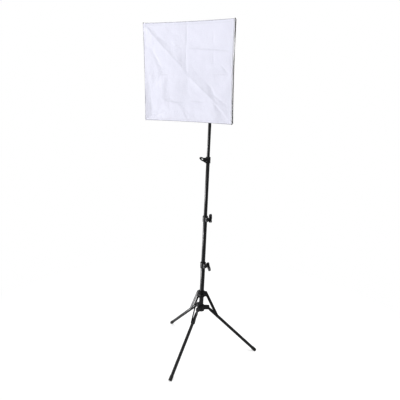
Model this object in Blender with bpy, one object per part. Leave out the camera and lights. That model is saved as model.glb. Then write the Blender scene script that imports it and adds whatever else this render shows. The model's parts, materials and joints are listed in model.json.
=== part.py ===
"""Studio softbox on a compact four-section light stand, as an assembly of separate pieces.

Run with: blender --background --python part.py

Frame: +Z up, origin on the floor under the middle of the whole object's bounding box.
The lamp faces -Y. Dimensions are in millimetres and degrees; meshes are written in metres.
Profiles for lathe() are closed loops of (radius, position along the axis).
"""
import bpy
import bmesh
from math import atan2, cos, degrees, hypot, pi, radians, sin
from mathutils import Matrix, Vector

MM = 0.001

# ---------------------------------------------------------------- shared dimensions
COLUMN_AT = (-15.16, 82.45, 0)           # column axis; the stand is off-centre in the whole
GAP = 0.3                                # running or assembly gap between neighbours
WALL = 1.2                               # tube wall
PIN_R, PIN_HOLE_R = 2.8, 3.1             # hinge pins of legs and struts
SCREW_R, SCREW_HOLE_R = 2.9, 3.2         # clamp, lock and tilt screws

SECTIONS = (                             # name, outer radius, height of its lower end
    ("base", 14.0, 296.5), ("section_2", 12.5, 565.0),
    ("section_3", 11.0, 863.0), ("section_4", 9.2, 1245.0),
)
CLAMPS = (                               # name, mid-height, azimuth of its ears,
    ("lower", 611.0, 325.0, -58.0),      # angle of the knob's long lobe above outward
    ("middle", 923.0, 325.0, 90.0),
    ("upper", 1300.0, 205.0, 28.0),
)
TUBE_ABOVE_CLAMP = 1.5                   # a clamped tube's top above the clamp's mid-height
COLUMN_TOP = 1672.0
SPIGOT_TOP = 1712.0                      # top of the stud, under its thin tip

LEGS = [(side, 25.4 + 120 * i) for i, side in enumerate(("right", "back", "front"))]
HUB_PIVOT_R, HUB_PIVOT_Z = 48.0, 310.0   # leg hinge pins
LEG_DROP = 42.3                          # leg below horizontal when open
LEG_R = 9.6
LEG_END = 444.7                          # end of leg tube, from the hinge pin
BUSH_AT = 85.0                           # strut bush, from the hinge pin
FOOT_R = 10.9
FOOT_END = LEG_END + 10.0
SLIDER_R, SLIDER_Z = 32.0, 410.0         # strut upper pins
TONGUE_HALF = 4.5                        # half-thickness of a leg's hinge tongue
FORK_IN, FORK_OUT = TONGUE_HALF + GAP, 9.3   # faces of a hub cheek, from the leg's centre
LUG_HALF = 9.7                           # half-thickness of a slider lug

TILT_Z = 1762.0                          # tilt axis height
TILT_REST = 5.0                          # lamp tips forward at rest
LAMP_UP = 60.0                           # lamp axis above the tilt axis
LAMP_AXIS = (0, 0, LAMP_UP)

for ob in list(bpy.data.objects):
    bpy.data.objects.remove(ob, do_unlink=True)


# ---------------------------------------------------------------- materials
def material(name, rgb, roughness, metallic=0.0):
    mat = bpy.data.materials.new(name)
    mat.use_nodes = True
    inputs = mat.node_tree.nodes["Principled BSDF"].inputs
    inputs["Base Color"].default_value = (*rgb, 1.0)
    inputs["Roughness"].default_value = roughness
    inputs["Metallic"].default_value = metallic
    mat.diffuse_color = (*rgb, 1.0)
    return mat


BLACK_TUBE = material("black_coated_tube", rgb=(0.02, 0.021, 0.023), roughness=0.38, metallic=0.5)
BLACK_PLASTIC = material("black_nylon", rgb=(0.018, 0.018, 0.019), roughness=0.5)
BLACK_STEEL = material("black_steel_bar", rgb=(0.025, 0.025, 0.027), roughness=0.42, metallic=0.6)
STEEL = material("bright_steel", rgb=(0.62, 0.62, 0.60), roughness=0.28, metallic=1.0)
ALLOY = material("cast_alloy", rgb=(0.55, 0.55, 0.55), roughness=0.4, metallic=1.0)
RUBBER = material("black_rubber", rgb=(0.015, 0.015, 0.015), roughness=0.85)
BLACK_FABRIC = material("black_nylon_fabric", rgb=(0.02, 0.02, 0.022), roughness=0.8)
WHITE_FABRIC = material("white_diffusion_cloth", rgb=(0.88, 0.88, 0.93), roughness=0.85)
FIBRE_ROD = material("white_fibreglass_rod", rgb=(0.80, 0.80, 0.76), roughness=0.45)
PORCELAIN = material("white_porcelain", rgb=(0.86, 0.85, 0.81), roughness=0.25)
NICKEL = material("nickelled_cap", rgb=(0.70, 0.68, 0.62), roughness=0.3, metallic=1.0)
LAMP_PLASTIC = material("white_lamp_plastic", rgb=(0.85, 0.85, 0.84), roughness=0.35)
LAMP_GLASS = material("phosphor_white_glass", rgb=(0.93, 0.93, 0.90), roughness=0.2)
SWITCH_RED = material("switch_red", rgb=(0.55, 0.03, 0.03), roughness=0.35)


# ---------------------------------------------------------------- objects and booleans
def place(ob, parent, at, turn):
    bpy.context.scene.collection.objects.link(ob)
    ob.parent = parent
    ob.location = [c * MM for c in at]
    ob.rotation_euler = [radians(a) for a in turn]
    return ob


def empty(name, parent=None, at=(0, 0, 0), turn=(0, 0, 0)):
    ob = bpy.data.objects.new(name, None)
    ob.empty_display_size = 0.02
    return place(ob, parent, at, turn)


def make(name, bm, mat, parent, at=(0, 0, 0), turn=(0, 0, 0), smooth_angle=38.0):
    """Turn a bmesh in millimetres into a named object with outward faces."""
    bmesh.ops.remove_doubles(bm, verts=bm.verts, dist=1e-4)
    bmesh.ops.recalc_face_normals(bm, faces=bm.faces)
    if bm.calc_volume(signed=True) < 0:
        bmesh.ops.reverse_faces(bm, faces=bm.faces)
    bm.transform(Matrix.Scale(MM, 4))
    mesh = bpy.data.meshes.new(name)
    bm.to_mesh(mesh)
    bm.free()
    mesh.shade_smooth()
    mesh.set_sharp_from_angle(angle=radians(smooth_angle))
    if mat is not None:
        mesh.materials.append(mat)
    return place(bpy.data.objects.new(name, mesh), parent, at, turn)


CUT, JOIN = 'DIFFERENCE', 'UNION'


def add_boolean(ob, helper, name, operation):
    helper.hide_render = True
    helper.display_type = 'WIRE'
    mod = ob.modifiers.new(name, 'BOOLEAN')
    mod.operation = operation
    mod.solver = 'EXACT'
    mod.object = helper


def shape(ob, *steps):
    """Cut or join, in order, hidden shapes given in the same local frame as ob."""
    for k, (operation, bm) in enumerate(steps):
        helper = make("%s_tool_%d" % (ob.name, k), bm, None, ob.parent)
        helper.location, helper.rotation_euler = ob.location, ob.rotation_euler
        add_boolean(ob, helper, "bool_%d" % k, operation)


# ---------------------------------------------------------------- solids
AXES = {
    'Z': Matrix.Identity(4),
    'X': Matrix(((0, 0, 1, 0), (1, 0, 0, 0), (0, 1, 0, 0), (0, 0, 0, 1))),
    'Y': Matrix(((0, 1, 0, 0), (0, 0, 1, 0), (1, 0, 0, 0), (0, 0, 0, 1))),
}


def bridge(bm, loop_a, loop_b):
    """Join two vertex loops of equal length with a band of quads."""
    n = len(loop_a)
    for i in range(n):
        j = (i + 1) % n
        bm.faces.new((loop_a[i], loop_a[j], loop_b[j], loop_b[i]))


def lathe(profile, segments, axis='Z', at=(0, 0, 0)):
    """Solid of revolution; profile points on the axis become single vertices."""
    bm = bmesh.new()
    rings = []
    for r, h in profile:
        if r < 1e-6:
            rings.append([bm.verts.new((0, 0, h))])
        else:
            angles = [2 * pi * i / segments for i in range(segments)]
            rings.append([bm.verts.new((r * cos(a), r * sin(a), h)) for a in angles])
    for a, b in zip(rings, rings[1:] + rings[:1]):
        if len(a) == len(b) == 1:
            continue
        if len(a) == len(b):
            bridge(bm, a, b)
            continue
        for i in range(segments):
            j = (i + 1) % segments
            bm.faces.new((a[0], b[i], b[j]) if len(a) == 1 else (a[i], b[0], a[j]))
    bm.transform(Matrix.Translation(at) @ AXES[axis])
    return bm


def pin(r, start, end, segments=16, axis='Z', at=(0, 0, 0)):
    return lathe([(0, start), (r, start), (r, end), (0, end)], segments, axis, at)


def tube(inner, outer, start, end, segments, axis='Z', at=(0, 0, 0)):
    profile = [(inner, start), (outer, start), (outer, end), (inner, end)]
    return lathe(profile, segments, axis, at)


def plate(outline, start, end, plane):
    """Extrude a closed outline drawn in the named plane along the third axis."""
    bm = bmesh.new()
    put = {'XZ': lambda u, v, w: (u, w, v),
           'XY': lambda u, v, w: (u, v, w),
           'YZ': lambda u, v, w: (w, u, v)}[plane]
    low = [bm.verts.new(put(u, v, start)) for u, v in outline]
    high = [bm.verts.new(put(u, v, end)) for u, v in outline]
    bm.faces.new(low)
    bm.faces.new(high)
    bridge(bm, low, high)
    return bm


def box(x0, x1, y0, y1, z0, z1):
    return plate([(x0, y0), (x1, y0), (x1, y1), (x0, y1)], z0, z1, 'XY')


def rod_between(start, end, r, segments):
    span = end - start
    bm = pin(r, 0.0, span.length, segments)
    bm.transform(Matrix.Translation(start) @ span.to_track_quat('Z', 'Y').to_matrix().to_4x4())
    return bm


def turned(bm, azimuth):
    """Swing a mesh about the vertical axis."""
    bm.transform(Matrix.Rotation(radians(azimuth), 4, 'Z'))
    return bm


# ---------------------------------------------------------------- outlines
def arc(cx, cy, r, start, end, steps):
    angles = [radians(start + (end - start) * i / steps) for i in range(steps + 1)]
    return [(cx + r * cos(a), cy + r * sin(a)) for a in angles]


def rounded(x0, x1, y0, y1, r, steps):
    """Rectangle with rounded corners."""
    return (arc(x1 - r, y0 + r, r, -90, 0, steps) + arc(x1 - r, y1 - r, r, 0, 90, steps)
            + arc(x0 + r, y1 - r, r, 90, 180, steps) + arc(x0 + r, y0 + r, r, 180, 270, steps))


def oval(cx, half_x, half_y, n):
    angles = [2 * pi * i / n for i in range(n)]
    return [(cx + half_x * cos(a), half_y * sin(a)) for a in angles]


def bow_tie(half, waist, tip=5.5):
    """Two-lobed thumb grip: half-length, half-width at the middle, lobe radius."""
    return (arc(half - tip, 0, tip, -70, 70, 5) + [(0, waist)]
            + arc(tip - half, 0, tip, 110, 250, 5) + [(0, -waist)])


def rivet(tip, rim, under):
    """Pin with a bevelled head at each end; positions are measured from its middle."""
    half = [(0, tip), (4.2, tip), (5.0, rim), (5.0, under), (PIN_R, under)]
    return lathe([(r, -h) for r, h in half] + half[::-1], 12, 'Y')


# ---------------------------------------------------------------- column
stand = empty("stand", None, COLUMN_AT)

# Each section slides in the one below, so the frames are nested.
carriers = [stand]
for name, _, _ in SECTIONS[1:]:
    carriers.append(empty(name + "_slide", carriers[-1]))

tube_tops = [clamp[1] + TUBE_ABOVE_CLAMP for clamp in CLAMPS] + [COLUMN_TOP]
for (name, radius, foot), top, carrier in zip(SECTIONS, tube_tops, carriers):
    make(name + "_tube", tube(radius - WALL, radius, foot, top, 24), BLACK_TUBE, carrier)

SPIGOT_INSERT_R, STUD_R = 7.7, 7.94
SPIGOT_PROFILE = [
    # insert in the top tube
    (0, COLUMN_TOP - 32), (SPIGOT_INSERT_R, COLUMN_TOP - 32), (SPIGOT_INSERT_R, COLUMN_TOP),
    # shoulder, as wide as the tube
    (SPIGOT_INSERT_R, COLUMN_TOP + GAP), (SECTIONS[3][1], COLUMN_TOP + GAP),
    (SECTIONS[3][1], COLUMN_TOP + 4.0),
    # stud with a groove
    (STUD_R, COLUMN_TOP + 4.0), (STUD_R, 1696.0), (6.2, 1698.0), (6.2, 1702.0), (STUD_R, 1704.0),
    (STUD_R, SPIGOT_TOP - 1.0), (7.0, SPIGOT_TOP),
    # thin tip
    (3.1, SPIGOT_TOP), (3.1, SPIGOT_TOP + 9.0), (2.3, SPIGOT_TOP + 10.0), (0, SPIGOT_TOP + 10.0),
]
make("top_spigot", lathe(SPIGOT_PROFILE, 18), STEEL, carriers[3])

# ---------------------------------------------------------------- section clamps
CLAMP_HALF_H = 19.0
COLLAR_T = 4.0                           # collar surface beyond the larger tube
STEP_Z = 2.0                             # where the bore narrows to the smaller tube
EAR_REACH = 7.2                          # screw axis beyond the collar surface
EAR_HALF_H, EAR_HALF_T, EAR_CORNER_R = 13, 9, 7
KNOB_LIFT = 1.8                          # knob's inner face past the collar radius
KNOB_T = 10.0
# Knob outline about the screw: (x, y), long lobe along +x, short lobe along -x.
KNOB_OUTLINE = [
    (5, -7.5), (13, -10.2), (24, -9.4), (32.5, -5.6), (35.5, 0.5), (34.2, 5.8),
    (28, 8.4), (17, 10.2), (9, 10.4), (4, 9), (-4, 9), (-12, 11.5),
    (-18, 10), (-20.5, 3.4), (-20.5, -4.6), (-17, -10.5), (-10, -11), (-5, -8.5),
]


def clamp_collar(name, frame, big, small):
    """Split collar, stepped from the larger tube to the smaller, with a slotted ear."""
    outer = big + COLLAR_T
    screw_x = outer + EAR_REACH
    h = CLAMP_HALF_H
    collar = make("clamp_collar_" + name, lathe([
        (big + GAP, -h), (outer - 1.0, -h), (outer, -h + 1.0), (outer, h - 1.0), (outer - 1.0, h),
        (small + GAP, h), (small + GAP, STEP_Z), (big + GAP, STEP_Z)], 20), BLACK_PLASTIC, frame)
    corner_z = EAR_HALF_H - EAR_CORNER_R
    ear = (arc(screw_x, -corner_z, EAR_CORNER_R, -90, 0, 4)
           + arc(screw_x, corner_z, EAR_CORNER_R, 0, 90, 4)
           + [(outer - 3, EAR_HALF_H), (outer - 3, -EAR_HALF_H)])
    shape(collar, (JOIN, plate(ear, -EAR_HALF_T, EAR_HALF_T, 'XZ')),
          (CUT, box(small - 1.0, screw_x + 9, -1, 1, -14, h + 3)),
          (CUT, pin(SCREW_HOLE_R, -12, 12, 14, 'Y', (screw_x, 0, 0))))


def clamp_knob(name, axis, base, turn):
    """Two-lobed knob with a window in each lobe and a blind screw hole in its hub."""
    top = base + KNOB_T
    knob = make("clamp_knob_" + name, plate(KNOB_OUTLINE, base, top, 'XY'), BLACK_PLASTIC, axis,
                turn=(0, 0, -turn))
    hub = [(0, 9.6), (6.4, 9.6), (7, 10.2), (7, top), (6, top + 1.0), (0, top + 1.0)]
    shape(knob, (CUT, plate(oval(17, 6.0, 3.6, 12), base - 3, top + 3, 'XY')),
          (CUT, plate(oval(-13.5, 3.8, 3.6, 10), base - 3, top + 3, 'XY')),
          (JOIN, lathe(hub, 16)),
          (CUT, pin(SCREW_HOLE_R, 0, base + 6.0, 12)))


for k, (name, mid_z, ear_azimuth, knob_turn) in enumerate(CLAMPS):
    big, small = SECTIONS[k][1], SECTIONS[k + 1][1]
    frame = empty("clamp_%s_frame" % name, carriers[k], (0, 0, mid_z), (0, 0, ear_azimuth))
    clamp_collar(name, frame, big, small)
    outer = big + COLLAR_T
    axis = empty("clamp_%s_screw_axis" % name, frame, (outer + EAR_REACH, 0, 0), (-90, 0, 0))
    knob_base = outer + KNOB_LIFT
    screw_end = knob_base + 5.7
    make("clamp_screw_" + name, lathe([
        (0, -13.3), (4.4, -13.3), (5.2, -12.3), (5.2, -9.3), (SCREW_R, -9.3),
        (SCREW_R, screw_end), (0, screw_end)], 14), STEEL, axis)
    clamp_knob(name, axis, knob_base, knob_turn)

# ---------------------------------------------------------------- leg hub
COLUMN_BORE_R = SECTIONS[0][1] + GAP
HUB_PROFILE = [
    (0, 292), (21.5, 292), (22.5, 293), (22.5, 327), (21.5, 328),
    (COLUMN_BORE_R, 328), (COLUMN_BORE_R, 296), (0, 296),
]
# Side view of a cheek: (distance from the column axis, height).
CHEEK_OUTLINE = ([(16, 302), (48, 302)] + arc(HUB_PIVOT_R, HUB_PIVOT_Z, 7.5, -80, 0, 4)
                 + [(55.5, 322), (52, 326), (16, 326)])


def pivot_holes(r, z):
    """One cross hole per leg at the given distance from the column axis and height."""
    return [(CUT, turned(pin(PIN_HOLE_R, -14, 14, 12, 'Y', (r, 0, z)), azimuth))
            for _, azimuth in LEGS]


hub = make("leg_hub", lathe(HUB_PROFILE, 20), BLACK_PLASTIC, stand)
cheeks = [(JOIN, turned(plate(CHEEK_OUTLINE, start, end, 'XZ'), azimuth))
          for _, azimuth in LEGS
          for start, end in ((FORK_IN, FORK_OUT), (-FORK_OUT, -FORK_IN))]
shape(hub, *cheeks, *pivot_holes(HUB_PIVOT_R, HUB_PIVOT_Z))

# ---------------------------------------------------------------- sliding hub and its lock
SLIDER_LOCK_AZIMUTH, SLIDER_LOCK_Z = 325.0, 414.0
SLIDER_PROFILE = [
    (COLUMN_BORE_R, 392), (20.5, 392), (21.5, 393), (21.5, 426.5), (20.5, 427.5),
    (COLUMN_BORE_R, 427.5),
]
# Side view of a lug: (distance from the column axis, height).
LUG_OUTLINE = [(16, 395), (33, 395), (37.5, 399), (37.5, 419), (35, 422), (24, 425), (16, 425)]
SLIDER_KNOB_PROFILE = [
    (0, 14.6), (SCREW_R, 14.6), (SCREW_R, 25.5), (6.0, 25.5), (6.5, 26.0), (6.5, 39.2),
    (5.6, 40.0), (0, 40.0),
]

slider_frame = empty("slider_frame", stand)
slider = make("slider_hub", lathe(SLIDER_PROFILE, 20), BLACK_PLASTIC, slider_frame)
lugs = [(JOIN, turned(plate(LUG_OUTLINE, -LUG_HALF, LUG_HALF, 'XZ'), azimuth))
        for _, azimuth in LEGS]
lock_at = (0, 0, SLIDER_LOCK_Z)
lock_boss = turned(pin(7.0, 18.5, 25.0, 16, 'X', lock_at), SLIDER_LOCK_AZIMUTH)
lock_hole = turned(pin(SCREW_HOLE_R, 10, 32, 12, 'X', lock_at), SLIDER_LOCK_AZIMUTH)
shape(slider, *lugs, (JOIN, lock_boss), *pivot_holes(SLIDER_R, SLIDER_Z), (CUT, lock_hole))

lock_axis = empty("slider_lock_axis", slider_frame, lock_at, (0, 0, SLIDER_LOCK_AZIMUTH))
slider_knob = make("slider_knob", lathe(SLIDER_KNOB_PROFILE, 16, 'X'), BLACK_PLASTIC, lock_axis)
shape(slider_knob, (JOIN, plate(bow_tie(17.5, 5.0), 30.5, 37.0, 'YZ')))

# ---------------------------------------------------------------- legs, struts and their pins
PLUG_R = 8.05                            # plug insert inside the leg tube
TONGUE_R = 7.2                           # rounded end and half-height of the hinge tongue
FOOT_START = LEG_END - 20.0
FOOT_BORE_R, FOOT_BORE_END = LEG_R + GAP, LEG_END + 0.5

STRUT_HALF_W, STRUT_T = 7.5, 2.0
STRUT_IN = LUG_HALF + GAP                # inner face of a bar from the leg's centre plane
strut_run = HUB_PIVOT_R + BUSH_AT * cos(radians(LEG_DROP)) - SLIDER_R
strut_fall = SLIDER_Z - HUB_PIVOT_Z + BUSH_AT * sin(radians(LEG_DROP))
STRUT_LENGTH = hypot(strut_run, strut_fall)
STRUT_DROP = degrees(atan2(strut_fall, strut_run))

PLUG_PROFILE = [
    (0, 19), (LEG_R, 19), (LEG_R, 22.2), (PLUG_R, 22.2), (PLUG_R, 45), (0, 45),
]
FOOT_PROFILE = [
    (FOOT_BORE_R, FOOT_START), (FOOT_R - 0.5, FOOT_START), (FOOT_R, FOOT_START + 0.7),
    (FOOT_R, FOOT_END - 0.8), (FOOT_R - 0.8, FOOT_END), (0, FOOT_END),
    (0, FOOT_BORE_END), (FOOT_BORE_R, FOOT_BORE_END),
]
TONGUE_OUTLINE = arc(0, 0, TONGUE_R, 90, 270, 6) + [(20.5, -TONGUE_R), (20.5, TONGUE_R)]
STRUT_OUTLINE = (arc(0, 0, STRUT_HALF_W, 90, 270, 6)
                 + arc(STRUT_LENGTH, 0, STRUT_HALF_W, -90, 90, 6))


def leg(side, azimuth):
    """Leg tube with its hinge plug, foot, strut bush and hinge rivet."""
    plane = empty("leg_%s_plane" % side, stand, turn=(0, 0, azimuth))
    pivot = (HUB_PIVOT_R, 0, HUB_PIVOT_Z)
    hinge = empty("leg_%s_hinge" % side, plane, pivot, (0, LEG_DROP, 0))

    leg_tube = make("leg_tube_" + side, tube(LEG_R - WALL, LEG_R, 22.5, LEG_END, 20, 'X'),
                    BLACK_TUBE, hinge)
    shape(leg_tube, (CUT, pin(PIN_HOLE_R, -12, 12, 12, 'Y', (BUSH_AT, 0, 0))))

    plug = make("leg_plug_" + side, lathe(PLUG_PROFILE, 20, 'X'), BLACK_PLASTIC, hinge)
    shape(plug, (JOIN, plate(TONGUE_OUTLINE, -TONGUE_HALF, TONGUE_HALF, 'XZ')),
          (CUT, pin(PIN_HOLE_R, -8, 8, 12, 'Y')))

    # The foot is cut flat at floor level.
    foot = make("rubber_foot_" + side, lathe(FOOT_PROFILE, 20, 'X'), RUBBER, hinge)
    floor = make("rubber_foot_%s_floor" % side,
                 plate(rounded(300, 460, -40, 40, 4, 1), -40, 0, 'XY'), None, plane)
    add_boolean(foot, floor, "floor", CUT)

    # The bush ends just short of the tube's surface.
    make("strut_bush_" + side, pin(PIN_R, -9.35, 9.35, 12, 'Y', (BUSH_AT, 0, 0)), STEEL, hinge)
    make("leg_rivet_" + side, rivet(11.6, 10.8, FORK_OUT + GAP), STEEL, plane, pivot)


def strut(side, azimuth):
    """Pair of flat bars on their upper rivet, each with a round boss at the lower end."""
    plane = empty("slider_%s_plane" % side, slider_frame, turn=(0, 0, azimuth))
    pivot = (SLIDER_R, 0, SLIDER_Z)
    make("strut_rivet_" + side, rivet(14.0, 13.3, STRUT_IN + STRUT_T + GAP), STEEL, plane, pivot)
    hinge = empty("strut_%s_hinge" % side, plane, pivot, (0, STRUT_DROP, 0))
    for tag, sign in (("a", 1), ("b", -1)):
        y0, y1 = sorted((sign * STRUT_IN, sign * (STRUT_IN + STRUT_T)))
        boss0, boss1 = sorted((sign * (STRUT_IN + 1.0), sign * (STRUT_IN + 3.4)))
        bar = make("strut_bar_%s_%s" % (side, tag), plate(STRUT_OUTLINE, y0, y1, 'XZ'),
                   BLACK_STEEL, hinge)
        shape(bar, (CUT, pin(PIN_HOLE_R, y0 - 3, y1 + 3, 12, 'Y')),
              (JOIN, pin(4.2, boss0, boss1, 12, 'Y', (STRUT_LENGTH, 0, 0))))


for side, azimuth in LEGS:
    leg(side, azimuth)
    strut(side, azimuth)

# ---------------------------------------------------------------- tilting bracket on the spigot
BRACKET_LOCK_AT = (0, 0, 1700)
BRACKET_HALF = 13.3                      # half-width across the cheeks
BRACKET_PROFILE = [(0, 1676.3), (14.2, 1676.3), (15, 1677.1), (15, 1724), (0, 1724)]
BRACKET_CHEEK = ([(-13, 1721), (13, 1721), (13, TILT_Z)]     # (y, z)
                 + arc(0, TILT_Z, 13, 15, 165, 8) + [(-13, TILT_Z)])
BRACKET_KNOB_PROFILE = [
    (0, -8.6), (SCREW_R, -8.6), (SCREW_R, -20.5), (6.4, -20.5), (7.0, -21.1), (7.0, -31.2),
    (6.2, -32), (0, -32),
]
TILT_BOLT_PROFILE = [
    (0, -17.3), (4.8, -17.3), (5.5, -16.6), (5.5, -BRACKET_HALF - GAP),
    (SCREW_R, -BRACKET_HALF - GAP), (SCREW_R, 21.5), (0, 21.5),
]
TILT_HUB_PROFILE = [(0, 13.7), (7.5, 13.7), (8.5, 17.5), (8.5, 28.6), (7.6, 29.4), (0, 29.4)]
STAR_R, STAR_WAVE, STAR_LOBES, STAR_POINTS = 14.4, 1.6, 5, 40

bracket_pan = empty("bracket_pan_axis", carriers[3])
bracket = make("bracket_base", lathe(BRACKET_PROFILE, 20), BLACK_PLASTIC, bracket_pan)
shape(bracket, (JOIN, plate(BRACKET_CHEEK, -BRACKET_HALF, BRACKET_HALF, 'YZ')),
      (JOIN, pin(7.0, -20.0, -13.0, 16, 'X', BRACKET_LOCK_AT)),          # lock boss
      (CUT, box(-7.3, 7.3, -20, 20, 1742, 1790)),                        # slot between cheeks
      (CUT, pin(8.25, 1670, 1726, 24)),                                  # spigot bore
      (CUT, pin(4.2, -20, 20, 14, 'Y', (0, 0, 1734))),                   # hole along Y
      (CUT, pin(SCREW_HOLE_R, -20, 20, 14, 'X', (0, 0, TILT_Z))),        # tilt bolt hole
      (CUT, pin(SCREW_HOLE_R, -24, -4, 12, 'X', BRACKET_LOCK_AT)))       # lock screw hole

bracket_lock = empty("bracket_lock_axis", bracket_pan, BRACKET_LOCK_AT)
bracket_knob = make("bracket_lock_knob", lathe(BRACKET_KNOB_PROFILE, 16, 'X'), BLACK_PLASTIC,
                    bracket_lock)
shape(bracket_knob, (JOIN, plate(bow_tie(16.5, 5.2), -30.0, -24.0, 'YZ')))

tilt_axis = empty("tilt_axis", bracket_pan, (0, 0, TILT_Z))
make("tilt_bolt", lathe(TILT_BOLT_PROFILE, 14, 'X'), STEEL, tilt_axis)
star = []
for i in range(STAR_POINTS):
    angle = 2 * pi * i / STAR_POINTS
    radius = STAR_R + STAR_WAVE * cos(STAR_LOBES * angle)
    star.append((radius * cos(angle), radius * sin(angle)))
tilt_knob = make("tilt_knob", plate(star, 17.0, 28.0, 'YZ'), BLACK_PLASTIC, tilt_axis)
shape(tilt_knob, (JOIN, lathe(TILT_HUB_PROFILE, 16, 'X')),
      (CUT, pin(SCREW_HOLE_R, 10, 22, 14, 'X')))

# ---------------------------------------------------------------- lamp head, in the tilting frame
HOUSING_PROFILE = [
    (28.5, -36), (36, -36), (36, -32), (31, -31), (31, 40), (28, 58), (25.5, 58), (28.5, 40),
]
HOUSING_TONGUE = arc(0, 0, 12, 180, 360, 8) + [(14, 16), (14, 30.5), (-14, 30.5), (-14, 16)]
REAR_CAP_PROFILE = [
    (0, 58.3), (22.7, 58.3), (22.7, 50), (25.1, 50), (25.1, 58.3), (28, 58.3), (28, 60.5),
    (26.5, 62), (0, 62),
]
SOCKET_PROFILE = [
    (0, -10), (17, -10), (17, -29), (28.2, -29), (28.2, -33), (19.5, -33), (19.5, -82),
    (18.5, -84), (13.8, -84), (13.8, -50), (0, -50),
]
INLET_Z, ROCKER_Z = LAMP_UP - 10.0, LAMP_UP + 9.5
# Rocker section (y, z), with a shallow V in its rear face.
ROCKER_OUTLINE = [
    (-4.5, -3.5), (-0.5, -4.6), (3.2, -4.3), (2.4, 0), (3.2, 4.3), (-0.5, 4.6), (-4.5, 3.5),
]

head = empty("head_tilt", tilt_axis, turn=(TILT_REST, 0, 0))

housing = make("lamp_housing", lathe(HOUSING_PROFILE, 26, 'Y', LAMP_AXIS), BLACK_PLASTIC, head)
shape(housing, (JOIN, plate(HOUSING_TONGUE, -6.9, 6.9, 'YZ')),
      (CUT, pin(SCREW_HOLE_R, -12, 12, 14, 'X')))

rear_cap = make("housing_rear_cap", lathe(REAR_CAP_PROFILE, 26, 'Y', LAMP_AXIS),
                BLACK_PLASTIC, head)
shape(rear_cap, (CUT, box(-10, 10, 54, 66, INLET_Z - 6, INLET_Z + 6)),
      (CUT, box(-6.5, 6.5, 54, 66, ROCKER_Z - 5.0, ROCKER_Z + 5.0)))

# Two-pin mains inlet: body through the cap, bezel outside, recess with its two pins.
inlet = make("power_inlet", box(-9.7, 9.7, 44, 62.6, INLET_Z - 5.7, INLET_Z + 5.7),
             BLACK_PLASTIC, head)
bezel = rounded(-12, 12, INLET_Z - 7.6, INLET_Z + 7.6, 2.5, 3)
recess = rounded(-7.5, 7.5, INLET_Z - 3.6, INLET_Z + 3.6, 3.3, 4)
shape(inlet, (JOIN, plate(bezel, 62.3, 63.8, 'XZ')), (CUT, plate(recess, 50, 70, 'XZ')),
      *[(JOIN, pin(1.2, 49, 60, 10, 'Y', (x, 0, INLET_Z))) for x in (-3.6, 3.6)])

rocker_axis = empty("rocker_axis", head, (0, 60.0, ROCKER_Z), (-7.0, 0, 0))
make("power_switch", plate(ROCKER_OUTLINE, -6.2, 6.2, 'YZ'), SWITCH_RED, rocker_axis)

# ---------------------------------------------------------------- mounting ring and rods
ROD_R = 2.5
ROD_REAR, ROD_FRONT = (46.0, -41.5), (240.5, -352.0)     # (offset in both x and z, y)
CORNERS = (                              # name, x sign, z sign
    ("top_left", -1, 1), ("top_right", 1, 1), ("bottom_left", -1, -1), ("bottom_right", 1, -1),
)


def rod_end(end, x_sign, z_sign):
    offset, y = end
    return Vector((x_sign * offset, y, LAMP_UP + z_sign * offset))


ring = make("mounting_ring", tube(30, 68, -40.0, -36.4, 32, 'Y', LAMP_AXIS), ALLOY, head)
sockets, bores = [], []
for name, x_sign, z_sign in CORNERS:
    rear = rod_end(ROD_REAR, x_sign, z_sign)
    front = rod_end(ROD_FRONT, x_sign, z_sign)
    along = (front - rear).normalized()
    sockets.append((JOIN, rod_between(rear - 2 * along, rear + 22 * along, 5.0, 12)))
    bores.append((CUT, rod_between(rear - 0.4 * along, rear + 30 * along, 2.85, 12)))
    make("rod_" + name, rod_between(rear, front, ROD_R, 10), FIBRE_ROD, head)
shape(ring, *sockets, *bores)

make("lamp_socket", lathe(SOCKET_PROFILE, 20, 'Y', LAMP_AXIS), PORCELAIN, head)

# ---------------------------------------------------------------- screw-in fluorescent lamp
BULB_CAP_PROFILE = [
    (0, -50.6), (4.5, -50.6), (5.5, -52.5), (12, -54), (13.2, -56), (13.2, -78), (0, -78),
]
BALLAST_PROFILE = [
    (0, -78.3), (13.3, -78.3), (13.3, -85.5), (20, -98), (26, -107), (27, -112), (27, -140),
    (24, -146), (0, -146),
]
COIL_R, GLASS_R, GLASS_SIDES = 24.3, 5.4, 6
COIL_REAR, COIL_FRONT = -152.0, -231.0   # y of the coil's two ends
COIL_TURNS, STEPS_PER_TURN = 2.75, 11
BRIDGE_STEPS, BRIDGE_BULGE = 6, 0.8      # crossing at the front end
COIL_STUB = Vector((0, 5.2, 0))          # short straight ends towards the ballast


def coil_path():
    """Forward along one helix, across the front end and back along the other."""
    helix = []
    steps = int(COIL_TURNS * STEPS_PER_TURN)
    for i in range(steps + 1):
        t = i / steps
        angle = 2 * pi * COIL_TURNS * t
        y = COIL_REAR + (COIL_FRONT - COIL_REAR) * t
        helix.append(Vector((COIL_R * cos(angle), y, COIL_R * sin(angle))))
    last = 2 * pi * COIL_TURNS
    crossing = []
    for i in range(1, BRIDGE_STEPS):
        t = i / BRIDGE_STEPS
        crossing.append(Vector((COIL_R * cos(last) * (1 - 2 * t),
                                COIL_FRONT - BRIDGE_BULGE * sin(pi * t),
                                COIL_R * sin(last) * (1 - 2 * t))))
    back = [Vector((-p.x, p.y, -p.z)) for p in reversed(helix)]
    return [helix[0] + COIL_STUB] + helix + crossing + back + [back[-1] + COIL_STUB]


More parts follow.
